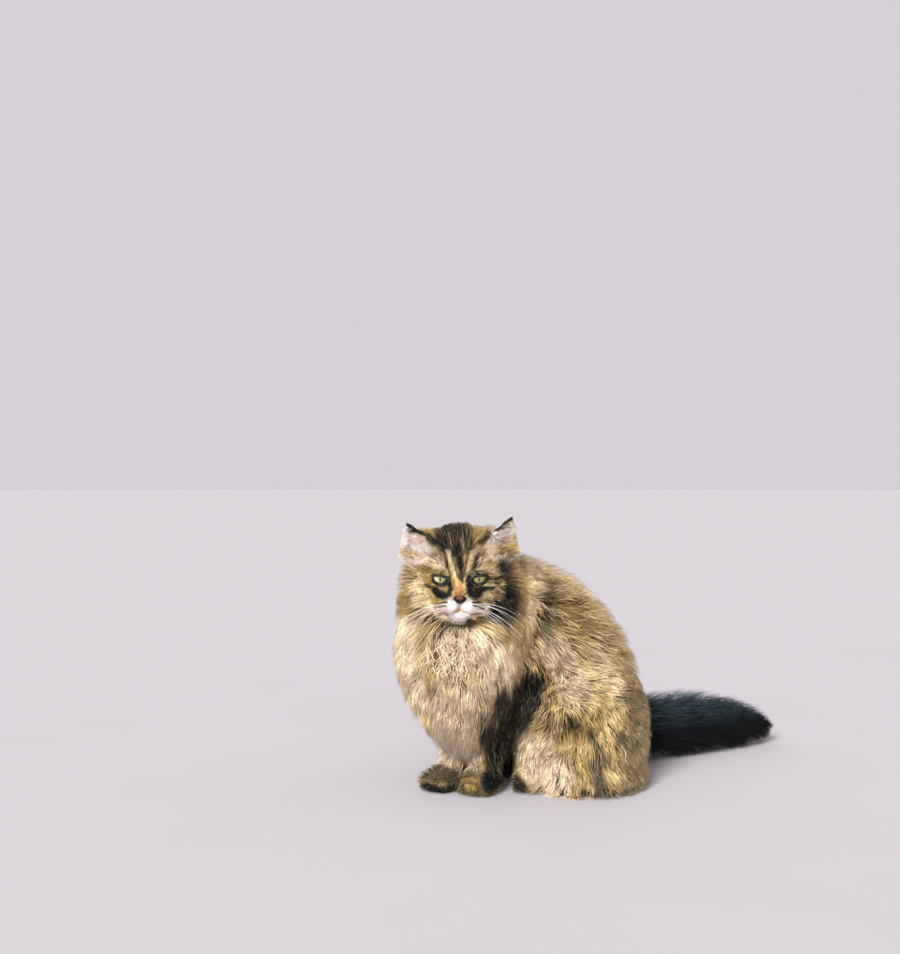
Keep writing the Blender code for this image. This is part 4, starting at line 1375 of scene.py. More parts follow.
def tuft_mesh(name, paths, half_widths, outward, profile):
    """Closed three-sided tufts along paths as one mesh, and how one tuft lies in its patch of the map."""
    count, steps, _ = paths.shape
    rings = steps - 1
    tangent = unit(np.gradient(paths, axis=1))[:, :rings]
    side = unit(np.cross(tangent, outward[:, None, :]))
    up = np.cross(tangent, side)
    angles = np.radians((-90.0, 30.0, 150.0))
    radius = half_widths[:, None, None, None] * profile[None, :rings, None, None]
    ring = side[:, :, None, :] * np.cos(angles)[None, None, :, None]
    ring = ring + up[:, :, None, :] * (np.sin(angles) * TUFT_FLATNESS)[None, None, :, None]
    points = paths[:, :rings, None, :] + ring * radius
    places = np.concatenate([points.reshape(count, -1, 3), paths[:, rings:rings + 1]], axis=1)
    each = 3 * rings + 1
    corners = []
    sizes = []
    lift = []
    for level in range(rings - 1):
        for edge in range(3):
            a = 3 * level + edge
            b = 3 * level + (edge + 1) % 3
            corners += [a, b, b + 3, a + 3]
            sizes.append(4)
            lift += [(edge, level), (edge + 1, level), (edge + 1, level + 1), (edge, level + 1)]
    for edge in range(3):
        a = 3 * (rings - 1) + edge
        b = 3 * (rings - 1) + (edge + 1) % 3
        corners += [a, b, 3 * rings]
        sizes.append(3)
        lift += [(edge, rings - 1), (edge + 1, rings - 1), (edge + 0.5, rings)]
    corners += [2, 1, 0]
    sizes.append(3)
    lift += [(0.0, 0.0), (1.0, 0.0), (0.5, 0.4)]
    mesh = bpy.data.meshes.new(name)
    start = np.arange(count)[:, None] * each
    all_corners = (start + np.array(corners)[None, :]).ravel()
    all_sizes = np.tile(sizes, count)
    mesh.vertices.add(count * each)
    mesh.vertices.foreach_set("co", floats(places))
    mesh.loops.add(len(all_corners))
    mesh.loops.foreach_set("vertex_index", all_corners.astype(np.int32))
    mesh.polygons.add(len(all_sizes))
    first_loops = np.concatenate([[0], np.cumsum(all_sizes)[:-1]])
    mesh.polygons.foreach_set("loop_start", first_loops.astype(np.int32))
    mesh.update(calc_edges=True)
    mesh.shade_smooth()
    patch = np.array(lift) / np.array((3.0, rings)) - 0.5
    return mesh, patch


def map_tufts(mesh, patch, roots, chosen):
    """Lays each tuft's patch at its root's place on an unwrap of the skin below it."""
    tree, maps = unwrap_skin(chosen)
    spots = np.empty((len(roots), 2))
    search = tree.find_nearest
    for index, place in enumerate(roots.tolist()):
        point, _, face, _ = search(place)
        (a, b, c), (ua, ub, uc) = maps[face]
        area_a = (b - point).cross(c - point).length
        area_b = (c - point).cross(a - point).length
        area_c = (a - point).cross(b - point).length
        total = max(area_a + area_b + area_c, 1e-12)
        spots[index] = (np.array(ua) * area_a + np.array(ub) * area_b + np.array(uc) * area_c) / total
    layer = mesh.uv_layers.new(name="OFBake")
    spots = PATCH / 2 + spots * (1.0 - PATCH)
    uv = spots[:, None, :] + patch[None, :, :] * PATCH
    layer.data.foreach_set("uv", floats(uv))


@functools.lru_cache(maxsize=None)
def plain_skin():
    """The skin with few triangles, for its unwrap."""
    copy = add_object("plain_skin", bpy.data.objects["skin"].data.copy())
    thin = copy.modifiers.new("thin", "DECIMATE")
    thin.ratio = UNWRAP_TRIANGLES / SKIN_TRIANGLES
    settle(copy)
    mesh = copy.data
    bpy.data.objects.remove(copy, do_unlink=True)
    return mesh


def unwrap_skin(chosen):
    """Unwraps the part of the skin under some of its triangles."""
    middles = skin_faces()[0][chosen].mean(axis=1)
    part = plain_skin().copy()
    tree = tree_of(middles[::4])
    shape = bmesh.new()
    shape.from_mesh(part)
    far = [face for face in shape.faces if tree.find(face.calc_center_median())[2] > MAP_REACH]
    bmesh.ops.delete(shape, geom=far, context="FACES")
    bmesh.ops.triangulate(shape, faces=shape.faces[:])
    shape.to_mesh(part)
    shape.free()
    piece = add_object("part_skin", part)
    for other in bpy.context.view_layer.objects:
        other.select_set(False)
    piece.select_set(True)
    bpy.context.view_layer.objects.active = piece
    bpy.ops.object.mode_set(mode="EDIT")
    bpy.ops.mesh.select_all(action="SELECT")
    bpy.ops.uv.smart_project(angle_limit=UNWRAP_ANGLE, island_margin=UNWRAP_MARGIN)
    bpy.ops.object.mode_set(mode="OBJECT")
    layer = part.uv_layers.active
    maps = []
    for face in part.polygons:
        places = [part.vertices[vertex].co.copy() for vertex in face.vertices]
        maps.append((places, [tuple(layer.data[loop].uv) for loop in face.loop_indices]))
    found = BVHTree.FromPolygons([vertex.co[:] for vertex in part.vertices],
                                 [face.vertices[:] for face in part.polygons])
    bpy.data.objects.remove(piece, do_unlink=True)
    return found, maps


def scatter_roots(chosen, count, rng, density=None):
    """Evenly spread points on some of the skin's triangles."""
    corners, areas, normals, _, _ = skin_faces()
    weight = areas[chosen] * (1.0 if density is None else density)
    total = np.cumsum(weight)
    draws = (np.arange(count) + rng.random(count)) / count * total[-1]
    face = chosen[np.minimum(np.searchsorted(total, draws), len(chosen) - 1)]
    a = np.sqrt(rng.random(count))[:, None]
    b = rng.random(count)[:, None]
    spot = corners[face]
    roots = spot[:, 0] * (1 - a) + spot[:, 1] * a * (1 - b) + spot[:, 2] * a * b
    return roots, normals[face]


def tuft_density(name, chosen):
    """Fewer tufts on the underside, hardly any on the ground and none between the lids."""
    corners, _, normals, _, _ = skin_faces()
    middles = corners[chosen].mean(axis=1)
    density = np.where(normals[chosen][:, 2] < -0.75, 0.35, 1.0)
    density = np.where(middles[:, 2] < 0.003, 0.02, density)
    if name == "face":
        for _, side in SIDES:
            density = np.where(lid_share(middles, side) < 1.0, 0.0, density)
    return density


def tuft_lengths(name, roots, rng):
    """Longer where the coat is deep and towards the floor, short round the nose and chin."""
    coat = COATS[name]
    _, _, depth = nearest(outline(), roots)
    lengths = (coat.least + coat.by_depth * depth) * (0.75 + 0.45 * rng.random(len(roots)))
    if name in HANGING:
        lengths = lengths * (1.0 + 0.5 * smooth_step(0.085, 0.040, roots[:, 2]))
    if name == "bib":
        lengths = lengths * (1.0 + 0.4 * smooth_step(0.160, 0.110, roots[:, 2]))
    if name == "face":
        lengths = lengths * (0.70 + 0.5 * smooth_step(0.026, 0.060, below_nose(roots, 0.0)))
        chin = below_nose(roots, CHIN_BELOW_NOSE)
        lengths = lengths * (1.0 - 0.45 * smooth_step(0.020, 0.011, chin))
    return lengths


def below_nose(places, drop):
    """Distance from a point below the nose, seen from the front."""
    return np.linalg.norm(places[:, [0, 2]] - np.array((NOSE.x, NOSE.z - drop)), axis=1)


def by_the_ears(roots):
    """1 at the inner corners of the ears and 0 away from them."""
    valley = np.zeros(len(roots))
    for _, side in SIDES:
        away = np.linalg.norm(roots - np.array(ear_corners(side)[0]), axis=1)
        valley = np.maximum(valley, smooth_step(0.030, 0.012, away))
    return valley


def tuft_depths(name, roots, lead, valley, rng):
    """How far under the outline each tuft ends, as a share of the coat's depth; strays end over it."""
    many = len(roots)
    under = 0.42 * rng.random(many) ** 2.0 + (0.22 * rng.random(many) ** 1.5)[lead]
    under = under * COATS[name].under
    if name in ("cheeks", "ruff", "bib"):
        under = under - 0.20 * smooth_step(0.050, 0.085, HEAD.x - roots[:, 0])
    under = under * (1.0 - valley)
    if name == "face":
        under = under * (2.2 - 1.6 * smooth_step(0.020, 0.040, roots[:, 2] - HEAD.z))
    return np.where(rng.random(many) < COATS[name].strays, -0.18 * rng.random(many), under)


def grow_coat(name):
    """One part of the coat, as a mesh of tufts."""
    look = bpy.context.scene.cat_coat
    coat = COATS[name]
    rng = np.random.default_rng(look.seed + list(COATS).index(name))
    chosen = faces_of(name)
    area = skin_faces()[1][chosen].sum()
    roots, normals = scatter_roots(chosen, coat.count, rng, tuft_density(name, chosen))
    many = len(roots)
    lengths = tuft_lengths(name, roots, rng)
    lead = choose_leaders(roots, area, coat.lock, rng)
    small = choose_leaders(roots, area, coat.lock * SMALL_LOCK, rng)
    turns = rng.normal(0.0, coat.lock_turn, (many, 3))[lead] + rng.normal(0.0, coat.own_turn, (many, 3))
    valley = by_the_ears(roots)
    under = tuft_depths(name, roots, lead, valley, rng)
    lengths = lengths * (1.0 + 0.7 * valley)
    paths = lay_tufts(roots, lengths, coat, turns, under, name)
    paths = draw_together(paths, lead, coat.together, rng)
    paths = draw_together(paths, small, coat.together * SMALL_PULL, rng)
    paths = add_wave(paths, normals, lead, look.wave, lengths, rng)
    share = np.minimum(keep_clear(paths), above_floor(paths))
    paths = shorten(paths, share)
    keep = share > 0.25
    if name == "face":
        keep &= from_mouth(roots) > BARE_MOUTH
    paths, roots, lead, small, share = (each[keep] for each in (paths, roots, lead, small, share))
    paths[:, :, 2] = np.maximum(paths[:, :, 2], LEAST_HEIGHT)
    half = look.width * coat.broad * (0.75 + 0.5 * rng.random(len(paths)))
    half = half * (0.55 + 0.45 * np.minimum(1.0, share * 1.5))
    _, outward, _ = nearest(outline(), paths[:, TUFT_STEPS // 2])
    mesh, patch = tuft_mesh("coat_" + name, paths, half, outward, TUFT_PROFILE)
    tone = rng.normal(0.0, TONES[0], many)[lead] + rng.normal(0.0, TONES[1], many)[small]
    tone = np.clip(tone + rng.normal(0.0, TONES[2], len(paths)), -1.0, 1.0) * coat.calm
    paint_tufts(mesh, paths, tone, name, rng)
    map_tufts(mesh, patch, roots, chosen)
    return add_object("coat_" + name, mesh)


def paint_tufts(mesh, paths, tone, name, rng):
    """Stores the markings on tufts: point by point where crisp, otherwise one for each tuft."""
    count, steps, _ = paths.shape
    crisp = name in CRISP
    along = rings_of(steps)
    each = len(along)
    if crisp:
        surface, _, _ = nearest(outline(), paths.reshape(-1, 3))
        ragged = 0.10 + 0.20 * smooth_step(0.012, 0.034, surface[::steps, 2] - HEAD.z)
        ragged = np.where(surface[::steps, 2] < 0.1, 0.30, ragged)
        waver = np.repeat(rng.normal(0.0, 1.0, count) * ragged, steps)
        ring = np.rint(along * (steps - 1)).astype(int)
        spread = (np.arange(count)[:, None] * steps + ring[None, :]).ravel()
    else:
        surface, _, _ = nearest(outline(), paths[:, (steps * 3) // 5])
        waver = rng.normal(0.0, 0.22, count)
        spread = np.repeat(np.arange(count), each)
    marks = marks_at(surface, waver)
    fainter = np.where(rng.random(count) < (0.08 if crisp else 0.12), 0.72, 1.0)
    marks["soot"] = marks["soot"] * (np.repeat(fainter, steps) if crisp else fainter)
    if name == "tail":
        marks = {kind: np.full(len(surface), float(kind == "soot")) for kind in KINDS}
    calm = 1.0 - 0.7 * marks["white"][spread]
    write_looks(
        mesh, surface[spread], np.tile(along, count), np.repeat(tone, each) * calm,
        {kind: marks[kind][spread] for kind in KINDS})


def paint_evenly(mesh, steps, surface, tone, marks):
    """Stores one place, tone and set of markings for the whole of each tuft."""
    along = rings_of(steps)
    each = len(along)
    write_looks(
        mesh, np.repeat(surface, each, axis=0), np.tile(along, len(surface)), np.repeat(tone, each),
        {kind: np.repeat(marks[kind], each) for kind in KINDS})


def add_wave(paths, normals, lead, amplitude, lengths, rng):
    """A soft sideways wave that each lock shares."""
    count, steps, _ = paths.shape
    phase = (rng.random(count) * 2 * math.pi)[lead]
    turns = (1.0 + 0.8 * rng.random(count))[lead]
    along = np.linspace(0.0, 1.0, steps)[None, :]
    tangent = unit(paths[:, -1] - paths[:, 0])
    sideways = unit(np.cross(tangent, normals))
    size = np.minimum(amplitude, lengths * 0.07)
    swing = np.sin(2 * math.pi * turns[:, None] * along + phase[:, None]) - np.sin(phase)[:, None]
    own = rng.normal(0.0, 0.5, (count, 1)) * along ** 2
    moved = (swing * along + own) * size[:, None]
    return paths + sideways[:, None, :] * moved[:, :, None]


def tube(name, points, radii, sides_level=3, cyclic=False):
    """A round tapering tube along points, as a closed mesh."""
    curve = bpy.data.curves.new(name, "CURVE")
    curve.dimensions = "3D"
    curve.bevel_depth = 1.0
    curve.bevel_resolution = sides_level
    curve.use_fill_caps = not cyclic
    line = curve.splines.new("POLY")
    line.points.add(len(points) - 1)
    for spot, place, radius in zip(line.points, points, radii):
        spot.co = (*place, 1.0)
        spot.radius = radius
    line.use_cyclic_u = cyclic
    holder = add_object(name, curve)
    mesh = made_from(holder)
    bpy.data.objects.remove(holder, do_unlink=True)
    bpy.data.curves.remove(curve)
    shape = bmesh.new()
    shape.from_mesh(mesh)
    bmesh.ops.remove_doubles(shape, verts=shape.verts[:], dist=1e-6)
    bmesh.ops.recalc_face_normals(shape, faces=shape.faces[:])
    shape.to_mesh(mesh)
    shape.free()
    mesh.shade_smooth()
    return mesh


def join_meshes(name, meshes):
    """One smooth mesh from many."""
    shape = bmesh.new()
    for mesh in meshes:
        shape.from_mesh(mesh)
        bpy.data.meshes.remove(mesh)
    joined = mesh_of(shape, name)
    joined.shade_smooth()
    return joined


def eye_material(name, side):
    """Iris with fine radial streaks, a dark rim and an upright pupil, with painted light and shade: a
    sunlit wedge on the right eye, the left eye darkened as if shaded, and shade from the upper lid over
    the top.
    """
    face = bpy.context.scene.cat_face
    nodes = Nodes(name)
    across, _, up = nodes.around(EYE[side])
    radius = nodes.long_side(across, up)
    streak_at = nodes.add("ShaderNodeCombineXYZ", {
        0: nodes.times(nodes.maths("ARCTAN2", up, across), 6.0), 1: nodes.times(radius, 260.0)})
    streaks = nodes.noise(streak_at.outputs[0], 3.0, 3.0, 0.30, 0.72)
    iris = nodes.mix(nodes.spread(radius, 0.0055, 0.0090), face.iris, face.iris_rim)
    # Painted light and shade: the sunlit wedge on the right eye, the left eye darkened as in shade, and
    # the top darkened as under the upper lid
    layers = (
        (nodes.times(streaks, 0.30), "streak"),
        (nodes.times(nodes.spread(across, -0.0010, -0.0060), 0.55 if side < 0 else 0.0), "sunlit"),
        (0.55 if side > 0 else 0.0, "shaded"),
        (nodes.times(nodes.spread(radius, 0.0046, 0.0018), 0.80), "inner"),
        (nodes.times(nodes.spread(up, -0.0008, 0.0030), 0.80), "upper"),
    )
    for amount, colour in layers:
        iris = nodes.mix(amount, iris, EYE_COLOURS[colour])
    iris = nodes.mix(nodes.spread(radius, 0.0086, 0.0094), iris, face.rim)
    beside = nodes.maths("DIVIDE", across, PUPIL[0])
    above = nodes.maths("DIVIDE", up, PUPIL[1])
    pupil = nodes.spread(nodes.long_side(beside, above), 1.15, 0.85)
    colour = nodes.mix(pupil, iris, EYE_COLOURS["pupil"])
    material = nodes.finish(colour, 0.25, 0.5)
    nodes.shader.inputs["Coat Weight"].default_value = 1.0
    nodes.shader.inputs["Coat Roughness"].default_value = 0.04
    return material


def make_eye(name, side):
    """An eyeball with its clear bulge in front."""
    shape = bmesh.new()
    place = Matrix.Translation(EYE[side]) @ Matrix.Rotation(math.radians(90), 4, "X")
    bmesh.ops.create_uvsphere(shape, u_segments=64, v_segments=40, radius=EYE_RADIUS, matrix=place)
    width, depth = EYE_BULGE
    for vertex in shape.verts:
        away = vertex.co - EYE[side]
        out = math.hypot(away.x, away.z) / (width * EYE_RADIUS)
        if away.y < 0 and out < 1.0:
            vertex.co.y -= depth * (1.0 - out * out) ** 2
    mesh = mesh_of(shape, "eyeball_" + name)
    mesh.shade_smooth()
    piece = add_object("eyeball_" + name, mesh)
    return ready(piece, eye_material("eye_" + name, side), ["eye_" + name])


def rim_material():
    """Bare black skin of the lids, faintly wet."""
    nodes = Nodes("bare_skin")
    grain = nodes.noise(nodes.on_piece(), 1400.0, 2.0)
    colour = nodes.mix(grain, bpy.context.scene.cat_face.rim, (0.020, 0.014, 0.012))
    return nodes.finish(colour, nodes.spread(grain, 0.0, 1.0, 0.42, 0.60), 0.25, grain, 0.0002)


def make_lids(name, side):
    """The dark rims that edge the lids, thickest along the heavy upper lid."""
    face = bpy.context.scene.cat_face
    points = lid_line(side)[:-1]
    radii = []
    for step in range(len(points)):
        angle = 2 * math.pi * step / len(points)
        corner = abs(math.cos(angle)) ** 6
        radii.append(face.lid * (1.0 + 0.30 * max(math.sin(angle), 0.0) + 0.4 * corner))
    mesh = tube("lids_" + name, points, radii, cyclic=True)
    return ready(add_object("lids_" + name, mesh), rim_material())


def nose_material():
    """Pebbled brick leather with a black edge."""
    face = bpy.context.scene.cat_face
    nodes = Nodes("nose_leather")
    where = nodes.on_piece()
    sideways, _, up = nodes.around(LEATHER_MIDDLE)
    across = nodes.maths("DIVIDE", nodes.maths("ABSOLUTE", sideways), LEATHER.x)
    down = nodes.maths("DIVIDE", up, -LEATHER.z)
    vee = nodes.maths("ADD", across, nodes.times(down, 0.62))
    pebbles = nodes.add("ShaderNodeTexVoronoi", {"Vector": where, "Scale": 1500.0})
    mottled = nodes.times(nodes.noise(where, 420.0, 3.0), 0.4)
    colour = nodes.mix(mottled, face.leather, (0.17, 0.075, 0.038))
    colour = nodes.mix(nodes.spread(down, 0.10, -0.75), colour, (0.120, 0.042, 0.016))
    colour = nodes.mix(nodes.spread(vee, -0.12, 0.30), colour, face.rim)
    return nodes.finish(colour, 0.5, 0.22, pebbles.outputs["Distance"], 0.00035)


def make_nose():
    """Nose leather: a broad wedge with comma nostrils and a groove down the middle."""
    shape = bmesh.new()
    bmesh.ops.create_icosphere(shape, subdivisions=6, radius=1.0)
    for vertex in shape.verts:
        across, back, up = vertex.co
        narrow = 1.0 - 0.42 * max(0.0, -up - 0.05) ** 0.8
        wide = 1.0 + 0.10 * max(0.0, up)
        spot = Vector((across * narrow * wide * LEATHER.x, back * LEATHER.y, up * LEATHER.z))
        if spot.y < 0:
            groove = math.exp(-(spot.x / 0.0009) ** 2) * smooth_step(0.0030, -0.0020, spot.z)
            nostril_x = (abs(spot.x) - 0.0050 - 0.10 * spot.z) / 0.0021
            nostril_z = (spot.z + 0.0012 - 0.22 * (abs(spot.x) - 0.0050)) / 0.0013
            pit = math.exp(-(nostril_x ** 2 + nostril_z ** 2))
            wing_x = (abs(spot.x) - 0.0066) / 0.0026
            wing_z = (spot.z + 0.0005) / 0.0030
            wing = math.exp(-(wing_x ** 2 + wing_z ** 2))
            spot.y += 0.0010 * float(groove) + 0.0030 * pit - 0.0006 * wing
        vertex.co = LEATHER_MIDDLE + spot
    mesh = mesh_of(shape, "nose_leather")
    mesh.shade_smooth()
    return ready(add_object("nose_leather", mesh), nose_material(), ["nose"])


def whisker_material():
    """White hair with a soft gloss."""
    nodes = Nodes("whisker")
    colour = nodes.mix(nodes.noise(nodes.on_piece(), 60.0), (0.88, 0.86, 0.84), (0.96, 0.95, 0.93))
    return nodes.finish(colour, 0.35, 0.5)


def whisker_roots():
    """Each whisker's root and aim from the head's centre, its length and its droop."""
    roots = []
    for row in range(PAD_ROWS):
        for column in range(PAD_COLUMNS):
            place = Vector((0.0130 + 0.0034 * column, -0.0555 + 0.0024 * column + 0.001 * row,
                            -0.0360 - 0.0042 * row - 0.0006 * column))
            aim = Vector((1.0, -0.40 + 0.16 * column, -0.02 - 0.24 * row))
            roots.append((place, aim, 0.040 + 0.009 * column, 0.42))
    for column in range(BROW_WHISKERS):
        place = Vector((0.0180 + 0.0042 * column, -0.0400, 0.0105 + 0.0008 * column))
        aim = Vector((0.55 + 0.15 * column, -0.45, 0.85))
        roots.append((place, aim, 0.024 + 0.004 * (column % 2), 0.25))
    return roots


def make_whiskers():
    """White whiskers from the pads and over the eyes, arched and drooping to their tips."""
    thick = bpy.context.scene.cat_face.whisker
    rng = np.random.default_rng(WHISKER_SEED)
    shares = [step / WHISKER_STEPS for step in range(WHISKER_STEPS + 1)]
    meshes = []
    for _, side in SIDES:
        for place, aim, length, droop in whisker_roots():
            length *= 0.85 + 0.3 * rng.random()
            aim = (aim + Vector(rng.normal(0.0, 0.07, 3))).normalized()
            start = head_place(place, side)
            way = Vector((side * aim.x, aim.y, aim.z))
            points = []
            for t in shares:
                bow = Vector((0.0, 0.10 * t * t, -droop * t * t)) * length
                points.append(start + way * (length * t) + bow)
            radii = [thick * (1.0 - 0.90 * t) for t in shares]
            meshes.append(tube("whisker", points, radii, sides_level=1))
    mesh = join_meshes("whiskers", meshes)
    return ready(add_object("whiskers", mesh), whisker_material())


def straight_tufts(name, roots, ways, lengths, half, rng):
    """Longer tufts placed by rule, and where each stands on the coat's outer form."""
    count = len(roots)
    long = lengths[:, None, None]
    along = np.linspace(0.0, 1.0, TUFT_STEPS)[None, :, None]
    ways = unit(ways + rng.normal(0.0, 0.12, (count, 3)))
    paths = roots[:, None, :] + ways[:, None, :] * along * long
    paths = paths + np.array((0.0, 0.0, -EAR_SAG)) * long * along ** 2
    turn = unit(np.cross(ways, rng.normal(0.0, 1.0, (count, 3))))
    paths = paths + turn[:, None, :] * EAR_BEND * long * along ** 2
    flat = paths.reshape(-1, 3)
    point, normal, _ = nearest(outline(), flat)
    flat = flat - normal * np.maximum(dots(flat - point, normal) - EAR_STANDS_OUT, 0.0)[:, None]
    outward = np.tile(np.array((0.0, -1.0, 0.0)), (count, 1))
    mesh, patch = tuft_mesh(name, flat.reshape(paths.shape), half, outward, TUFT_PROFILE)
    surface, _, _ = nearest(outline(), roots)
    return mesh, patch, surface


def make_ear_tufts():
    """Long pale hair that fills each ear and sweeps out past its base."""
    coat = bpy.context.scene.cat_coat
    rng = np.random.default_rng(coat.seed + EAR_SEED)
    count = EAR_TUFTS
    groups = []
    for _, side in SIDES:
        inner, outer, tip = (np.array(corner) for corner in ear_corners(side))
        share = rng.random((count, 1))
        rise = rng.random((count, 1)) ** 1.3
        base = inner + (outer - inner) * share * 0.80
        spot = base + (tip - base) * rise * 0.72
        spot[:, 1] += (EAR_CUP * np.sin(np.pi * share) * (1.0 - rise) * 0.75 - 0.002)[:, 0]
        way = np.array((side * 1.0, -0.35, 0.10)) + (tip - base) / 0.05 * (0.25 + 0.30 * rise)
        length = 0.010 + 0.014 * rng.random(count) * (1.0 - 0.55 * rise[:, 0])
        groups.append((spot, way, length))
        low = rng.random((count // 2, 1))
        spot = inner + (outer - inner) * (0.20 + 0.60 * low)
        spot[:, 1] -= 0.004
        spot[:, 2] -= 0.006 * rng.random(count // 2)
        way = np.tile(np.array((side * 1.0, -0.16, -0.10)), (count // 2, 1))
        groups.append((spot, way, 0.012 + 0.012 * rng.random(count // 2)))
    roots, ways, lengths = (np.concatenate(column) for column in zip(*groups))
    half = coat.width * 0.55 * (0.7 + 0.6 * rng.random(len(roots)))
    mesh, patch, surface = straight_tufts("ear_tufts", roots, ways, lengths, half, rng)
    tone = np.clip(rng.normal(0.0, 0.4, len(roots)), -1.0, 1.0)
    marks = marks_at(surface, rng.normal(0.0, 0.12, len(roots)))
    marks["white"] = np.maximum(marks["white"], 0.60 * (1.0 - marks["soot"]))
    paint_evenly(mesh, TUFT_STEPS, surface, tone, marks)
    map_tufts(mesh, patch, roots, faces_of("ears"))
    piece = add_object("coat_ear_tufts", mesh)
    return ready(piece, coat_material("coat_ear_tufts", 0.95, 0.5))


def make_stage():
    """Pale floor, soft light and the camera."""
    stage = bpy.context.scene.cat_stage
    shape = bmesh.new()
    bmesh.ops.create_circle(shape, cap_ends=True, radius=FLOOR_RADIUS, segments=96)
    mesh = mesh_of(shape, "floor")
    floor = add_object("floor", mesh)
    nodes = Nodes("floor")
    grain = nodes.times(nodes.noise(nodes.on_piece(), 3.0, 6.0), 0.10)
    colour = nodes.mix(grain, stage.floor, (0.58, 0.55, 0.57))
    mesh.materials.append(nodes.finish(colour, 0.9, 0.1))
    world = bpy.data.worlds.new("surroundings")
    bpy.context.scene.world = world
    world.use_nodes = True
    world.node_tree.nodes["Background"].inputs[0].default_value = (*stage.air, 1.0)
    lights = (("key", stage.key, KEY_WIDTH, KEY_FROM), ("fill", stage.fill, FILL_WIDTH, FILL_FROM))
    for name, strength, width, direction in lights:
        lamp = bpy.data.lights.new(name, "SUN")
        lamp.energy = strength
        lamp.angle = width
        holder = add_object(name, lamp)
        holder.rotation_euler = direction.to_track_quat("Z", "Y").to_euler()
    camera = bpy.data.cameras.new("camera")
    camera.lens = LENS
    holder = add_object("camera", camera)
    holder.location = CAMERA
    holder.rotation_euler = (math.radians(90), 0.0, 0.0)
    bpy.context.scene.camera = holder
    bpy.context.scene.view_settings.view_transform = "Standard"


def fur_height(roots, normals, names):
    """How high the laid coat stands over each root."""
    places = np.concatenate([places_of(bpy.data.objects[name].data) for name in names])
    heights = np.zeros(len(roots))
    for index, (root, normal) in enumerate(zip(roots, normals)):
        away = places - root
        up = away @ normal
        beside = np.linalg.norm(away - up[:, None] * normal, axis=1)
        near = up[(beside < 0.007) & (up > 0.0)]
        heights[index] = np.percentile(near, 98) if len(near) else 0.0
    return heights


def make_curls():
    """Loose pale curls that spill from the throat over the top of the chest."""
    coat = bpy.context.scene.cat_coat
    rng = np.random.default_rng(coat.seed + CURL_SEED)
    chosen = np.concatenate([faces_of("bib"), faces_of("ruff")])
    centre = np.array(on_outline(CURLS_AT))
    away = (skin_faces()[0][chosen].mean(axis=1) - centre) * np.array((1.0, 0.45, 0.85))
    chosen = chosen[np.linalg.norm(away, axis=1) < CURLS_REACH]
    roots, _ = scatter_roots(chosen, CURLS, rng)
    _, normal, _ = nearest(outline(), roots)
    height = fur_height(roots, normal, ("coat_bib", "coat_ruff"))
    way = unit(np.array(DOWN) + rng.normal(0.0, 0.45, (CURLS, 3)))
    way = unit(way - normal * dots(way, normal)[:, None])
    side = np.cross(way, normal)
    length = 0.018 + 0.014 * rng.random(CURLS)
    size = 0.0012 + 0.0018 * rng.random(CURLS)
    turns = 0.8 + 1.0 * rng.random(CURLS)
    phase = rng.random(CURLS) * 2 * math.pi
    paths = np.empty((CURLS, CURL_STEPS, 3))
    for step, t in enumerate(np.linspace(0.0, 1.0, CURL_STEPS)):
        rise = min(1.0, t / 0.25)
        angle = 2 * math.pi * turns * t + phase
        grow = size * min(1.0, t * 3.0)
        out = roots + normal * (height * rise)[:, None]
        onward = way * (max(0.0, t - 0.15) * length)[:, None]
        swing = side * (grow * np.cos(angle))[:, None]
        lift = normal * (grow * 0.6 * np.sin(angle) + CURL_LIFT * rise)[:, None]
        paths[:, step] = out + onward + swing + lift
    profile = np.append(np.linspace(1.0, 0.55, CURL_STEPS - 1), 0.0)
    half = coat.width * 1.15 * (0.7 + 0.6 * rng.random(CURLS))
    mesh, patch = tuft_mesh("coat_curls", paths, half, normal, profile)
    tone = np.clip(rng.normal(0.15, 0.45, CURLS), -1.0, 1.0)
    surface, _, _ = nearest(outline(), paths[:, CURL_STEPS // 2])
    marks = {kind: np.zeros(CURLS) for kind in KINDS}
    marks["cream"] = 0.70 + 0.30 * rng.random(CURLS)
    marks["grey"] = 0.20 * rng.random(CURLS)
    paint_evenly(mesh, CURL_STEPS, surface, tone, marks)
    map_tufts(mesh, patch, roots, chosen)
    piece = add_object("coat_curls", mesh)
    return ready(piece, coat_material("coat_curls", 0.40, 0.4))


class CAT_OT_skin(bpy.types.Operator):
    """Raise the skin inside the solids and give it the coat's markings"""

    bl_idname = "cat.skin"
    bl_label = "Skin"

    def execute(self, context):
        skin = raise_skin()
        mark_skin(skin)
        ready(skin, skin_material(), FLESH_NODES)
        return {"FINISHED"}


class CAT_OT_eyes(bpy.types.Operator):
    """Make the eyeballs and the dark rims of the lids"""

    bl_idname = "cat.eyes"
    bl_label = "Eyes and lids"

    def execute(self, context):
        for name, side in SIDES:
            make_eye(name, side)
            make_lids(name, side)
        return {"FINISHED"}


class CAT_OT_nose(bpy.types.Operator):
    """Make the nose leather with its nostrils"""

    bl_idname = "cat.nose"
    bl_label = "Nose leather"

    def execute(self, context):
        make_nose()
        return {"FINISHED"}


class CAT_OT_coat(bpy.types.Operator):
    """Lay one part of the coat in tufts over the skin"""

    bl_idname = "cat.coat"
    bl_label = "Coat"

    part: bpy.props.StringProperty(name="Part", description="Part of the coat to lay", default="face")

    def execute(self, context):
        coat = COATS[self.part]
        piece = grow_coat(self.part)
        material = coat_material("coat_" + self.part, coat.darken, coat.pale, self.part == "tail")
        ready(piece, material)
        return {"FINISHED"}


class CAT_OT_ear_tufts(bpy.types.Operator):
    """Fill the ears with long pale hair"""

    bl_idname = "cat.ear_tufts"
    bl_label = "Ear tufts"

    def execute(self, context):
        make_ear_tufts()
        return {"FINISHED"}


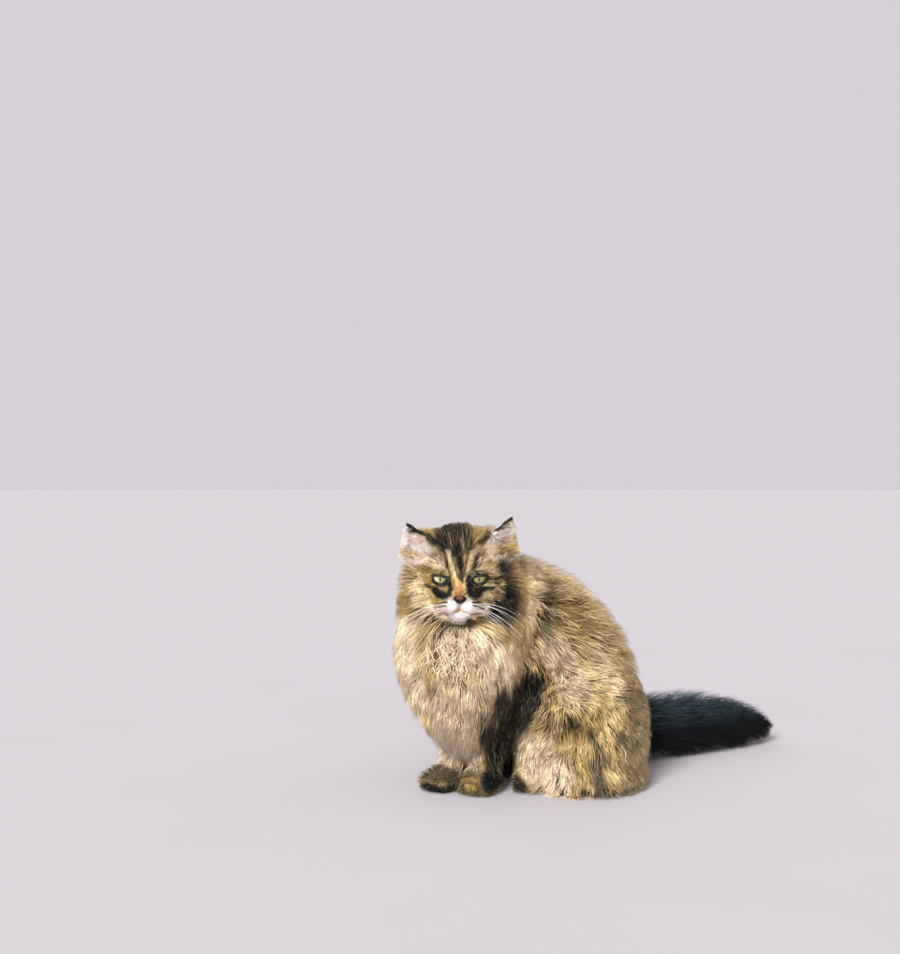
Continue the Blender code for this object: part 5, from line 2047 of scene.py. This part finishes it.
class CAT_OT_curls(bpy.types.Operator):
    """Lay the loose curls below the chin"""

    bl_idname = "cat.curls"
    bl_label = "Curls"

    def execute(self, context):
        make_curls()
        return {"FINISHED"}


class CAT_OT_whiskers(bpy.types.Operator):
    """Make the whiskers"""

    bl_idname = "cat.whiskers"
    bl_label = "Whiskers"

    def execute(self, context):
        make_whiskers()
        return {"FINISHED"}


class CAT_OT_stage(bpy.types.Operator):
    """Make the floor, the light and the camera"""

    bl_idname = "cat.stage"
    bl_label = "Stage"

    def execute(self, context):
        make_stage()
        return {"FINISHED"}


class CAT_PT_looks(bpy.types.Panel):
    """Lists the pieces of the cat's looks"""

    bl_label = "Cat"
    bl_idname = "CAT_PT_looks"
    bl_space_type = "VIEW_3D"
    bl_region_type = "UI"
    bl_category = "Cat"

    def draw(self, context):
        for operator in (CAT_OT_skin, CAT_OT_eyes, CAT_OT_nose):
            self.layout.operator(operator.bl_idname)
        for part in COATS:
            self.layout.operator(CAT_OT_coat.bl_idname, text="Coat: " + part).part = part
        for operator in (CAT_OT_ear_tufts, CAT_OT_curls, CAT_OT_whiskers, CAT_OT_stage):
            self.layout.operator(operator.bl_idname)


CLASSES = (
    CatCoat, CatFace, CatStage, CAT_OT_skin, CAT_OT_eyes, CAT_OT_nose, CAT_OT_coat,
    CAT_OT_ear_tufts, CAT_OT_curls, CAT_OT_whiskers, CAT_OT_stage, CAT_PT_looks,
)


def register():
    for each in CLASSES:
        bpy.utils.register_class(each)
    bpy.types.Scene.cat_coat = bpy.props.PointerProperty(type=CatCoat)
    bpy.types.Scene.cat_face = bpy.props.PointerProperty(type=CatFace)
    bpy.types.Scene.cat_stage = bpy.props.PointerProperty(type=CatStage)


def unregister():
    del bpy.types.Scene.cat_stage
    del bpy.types.Scene.cat_face
    del bpy.types.Scene.cat_coat
    for each in reversed(CLASSES):
        bpy.utils.unregister_class(each)


def main():
    """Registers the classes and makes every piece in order."""
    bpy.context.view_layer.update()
    register()
    bpy.ops.cat.stage()
    bpy.ops.cat.skin()
    bpy.ops.cat.eyes()
    bpy.ops.cat.nose()
    for part in COATS:
        bpy.ops.cat.coat(part=part)
    bpy.ops.cat.ear_tufts()
    bpy.ops.cat.curls()
    bpy.ops.cat.whiskers()


if __name__ == "__main__":
    main()
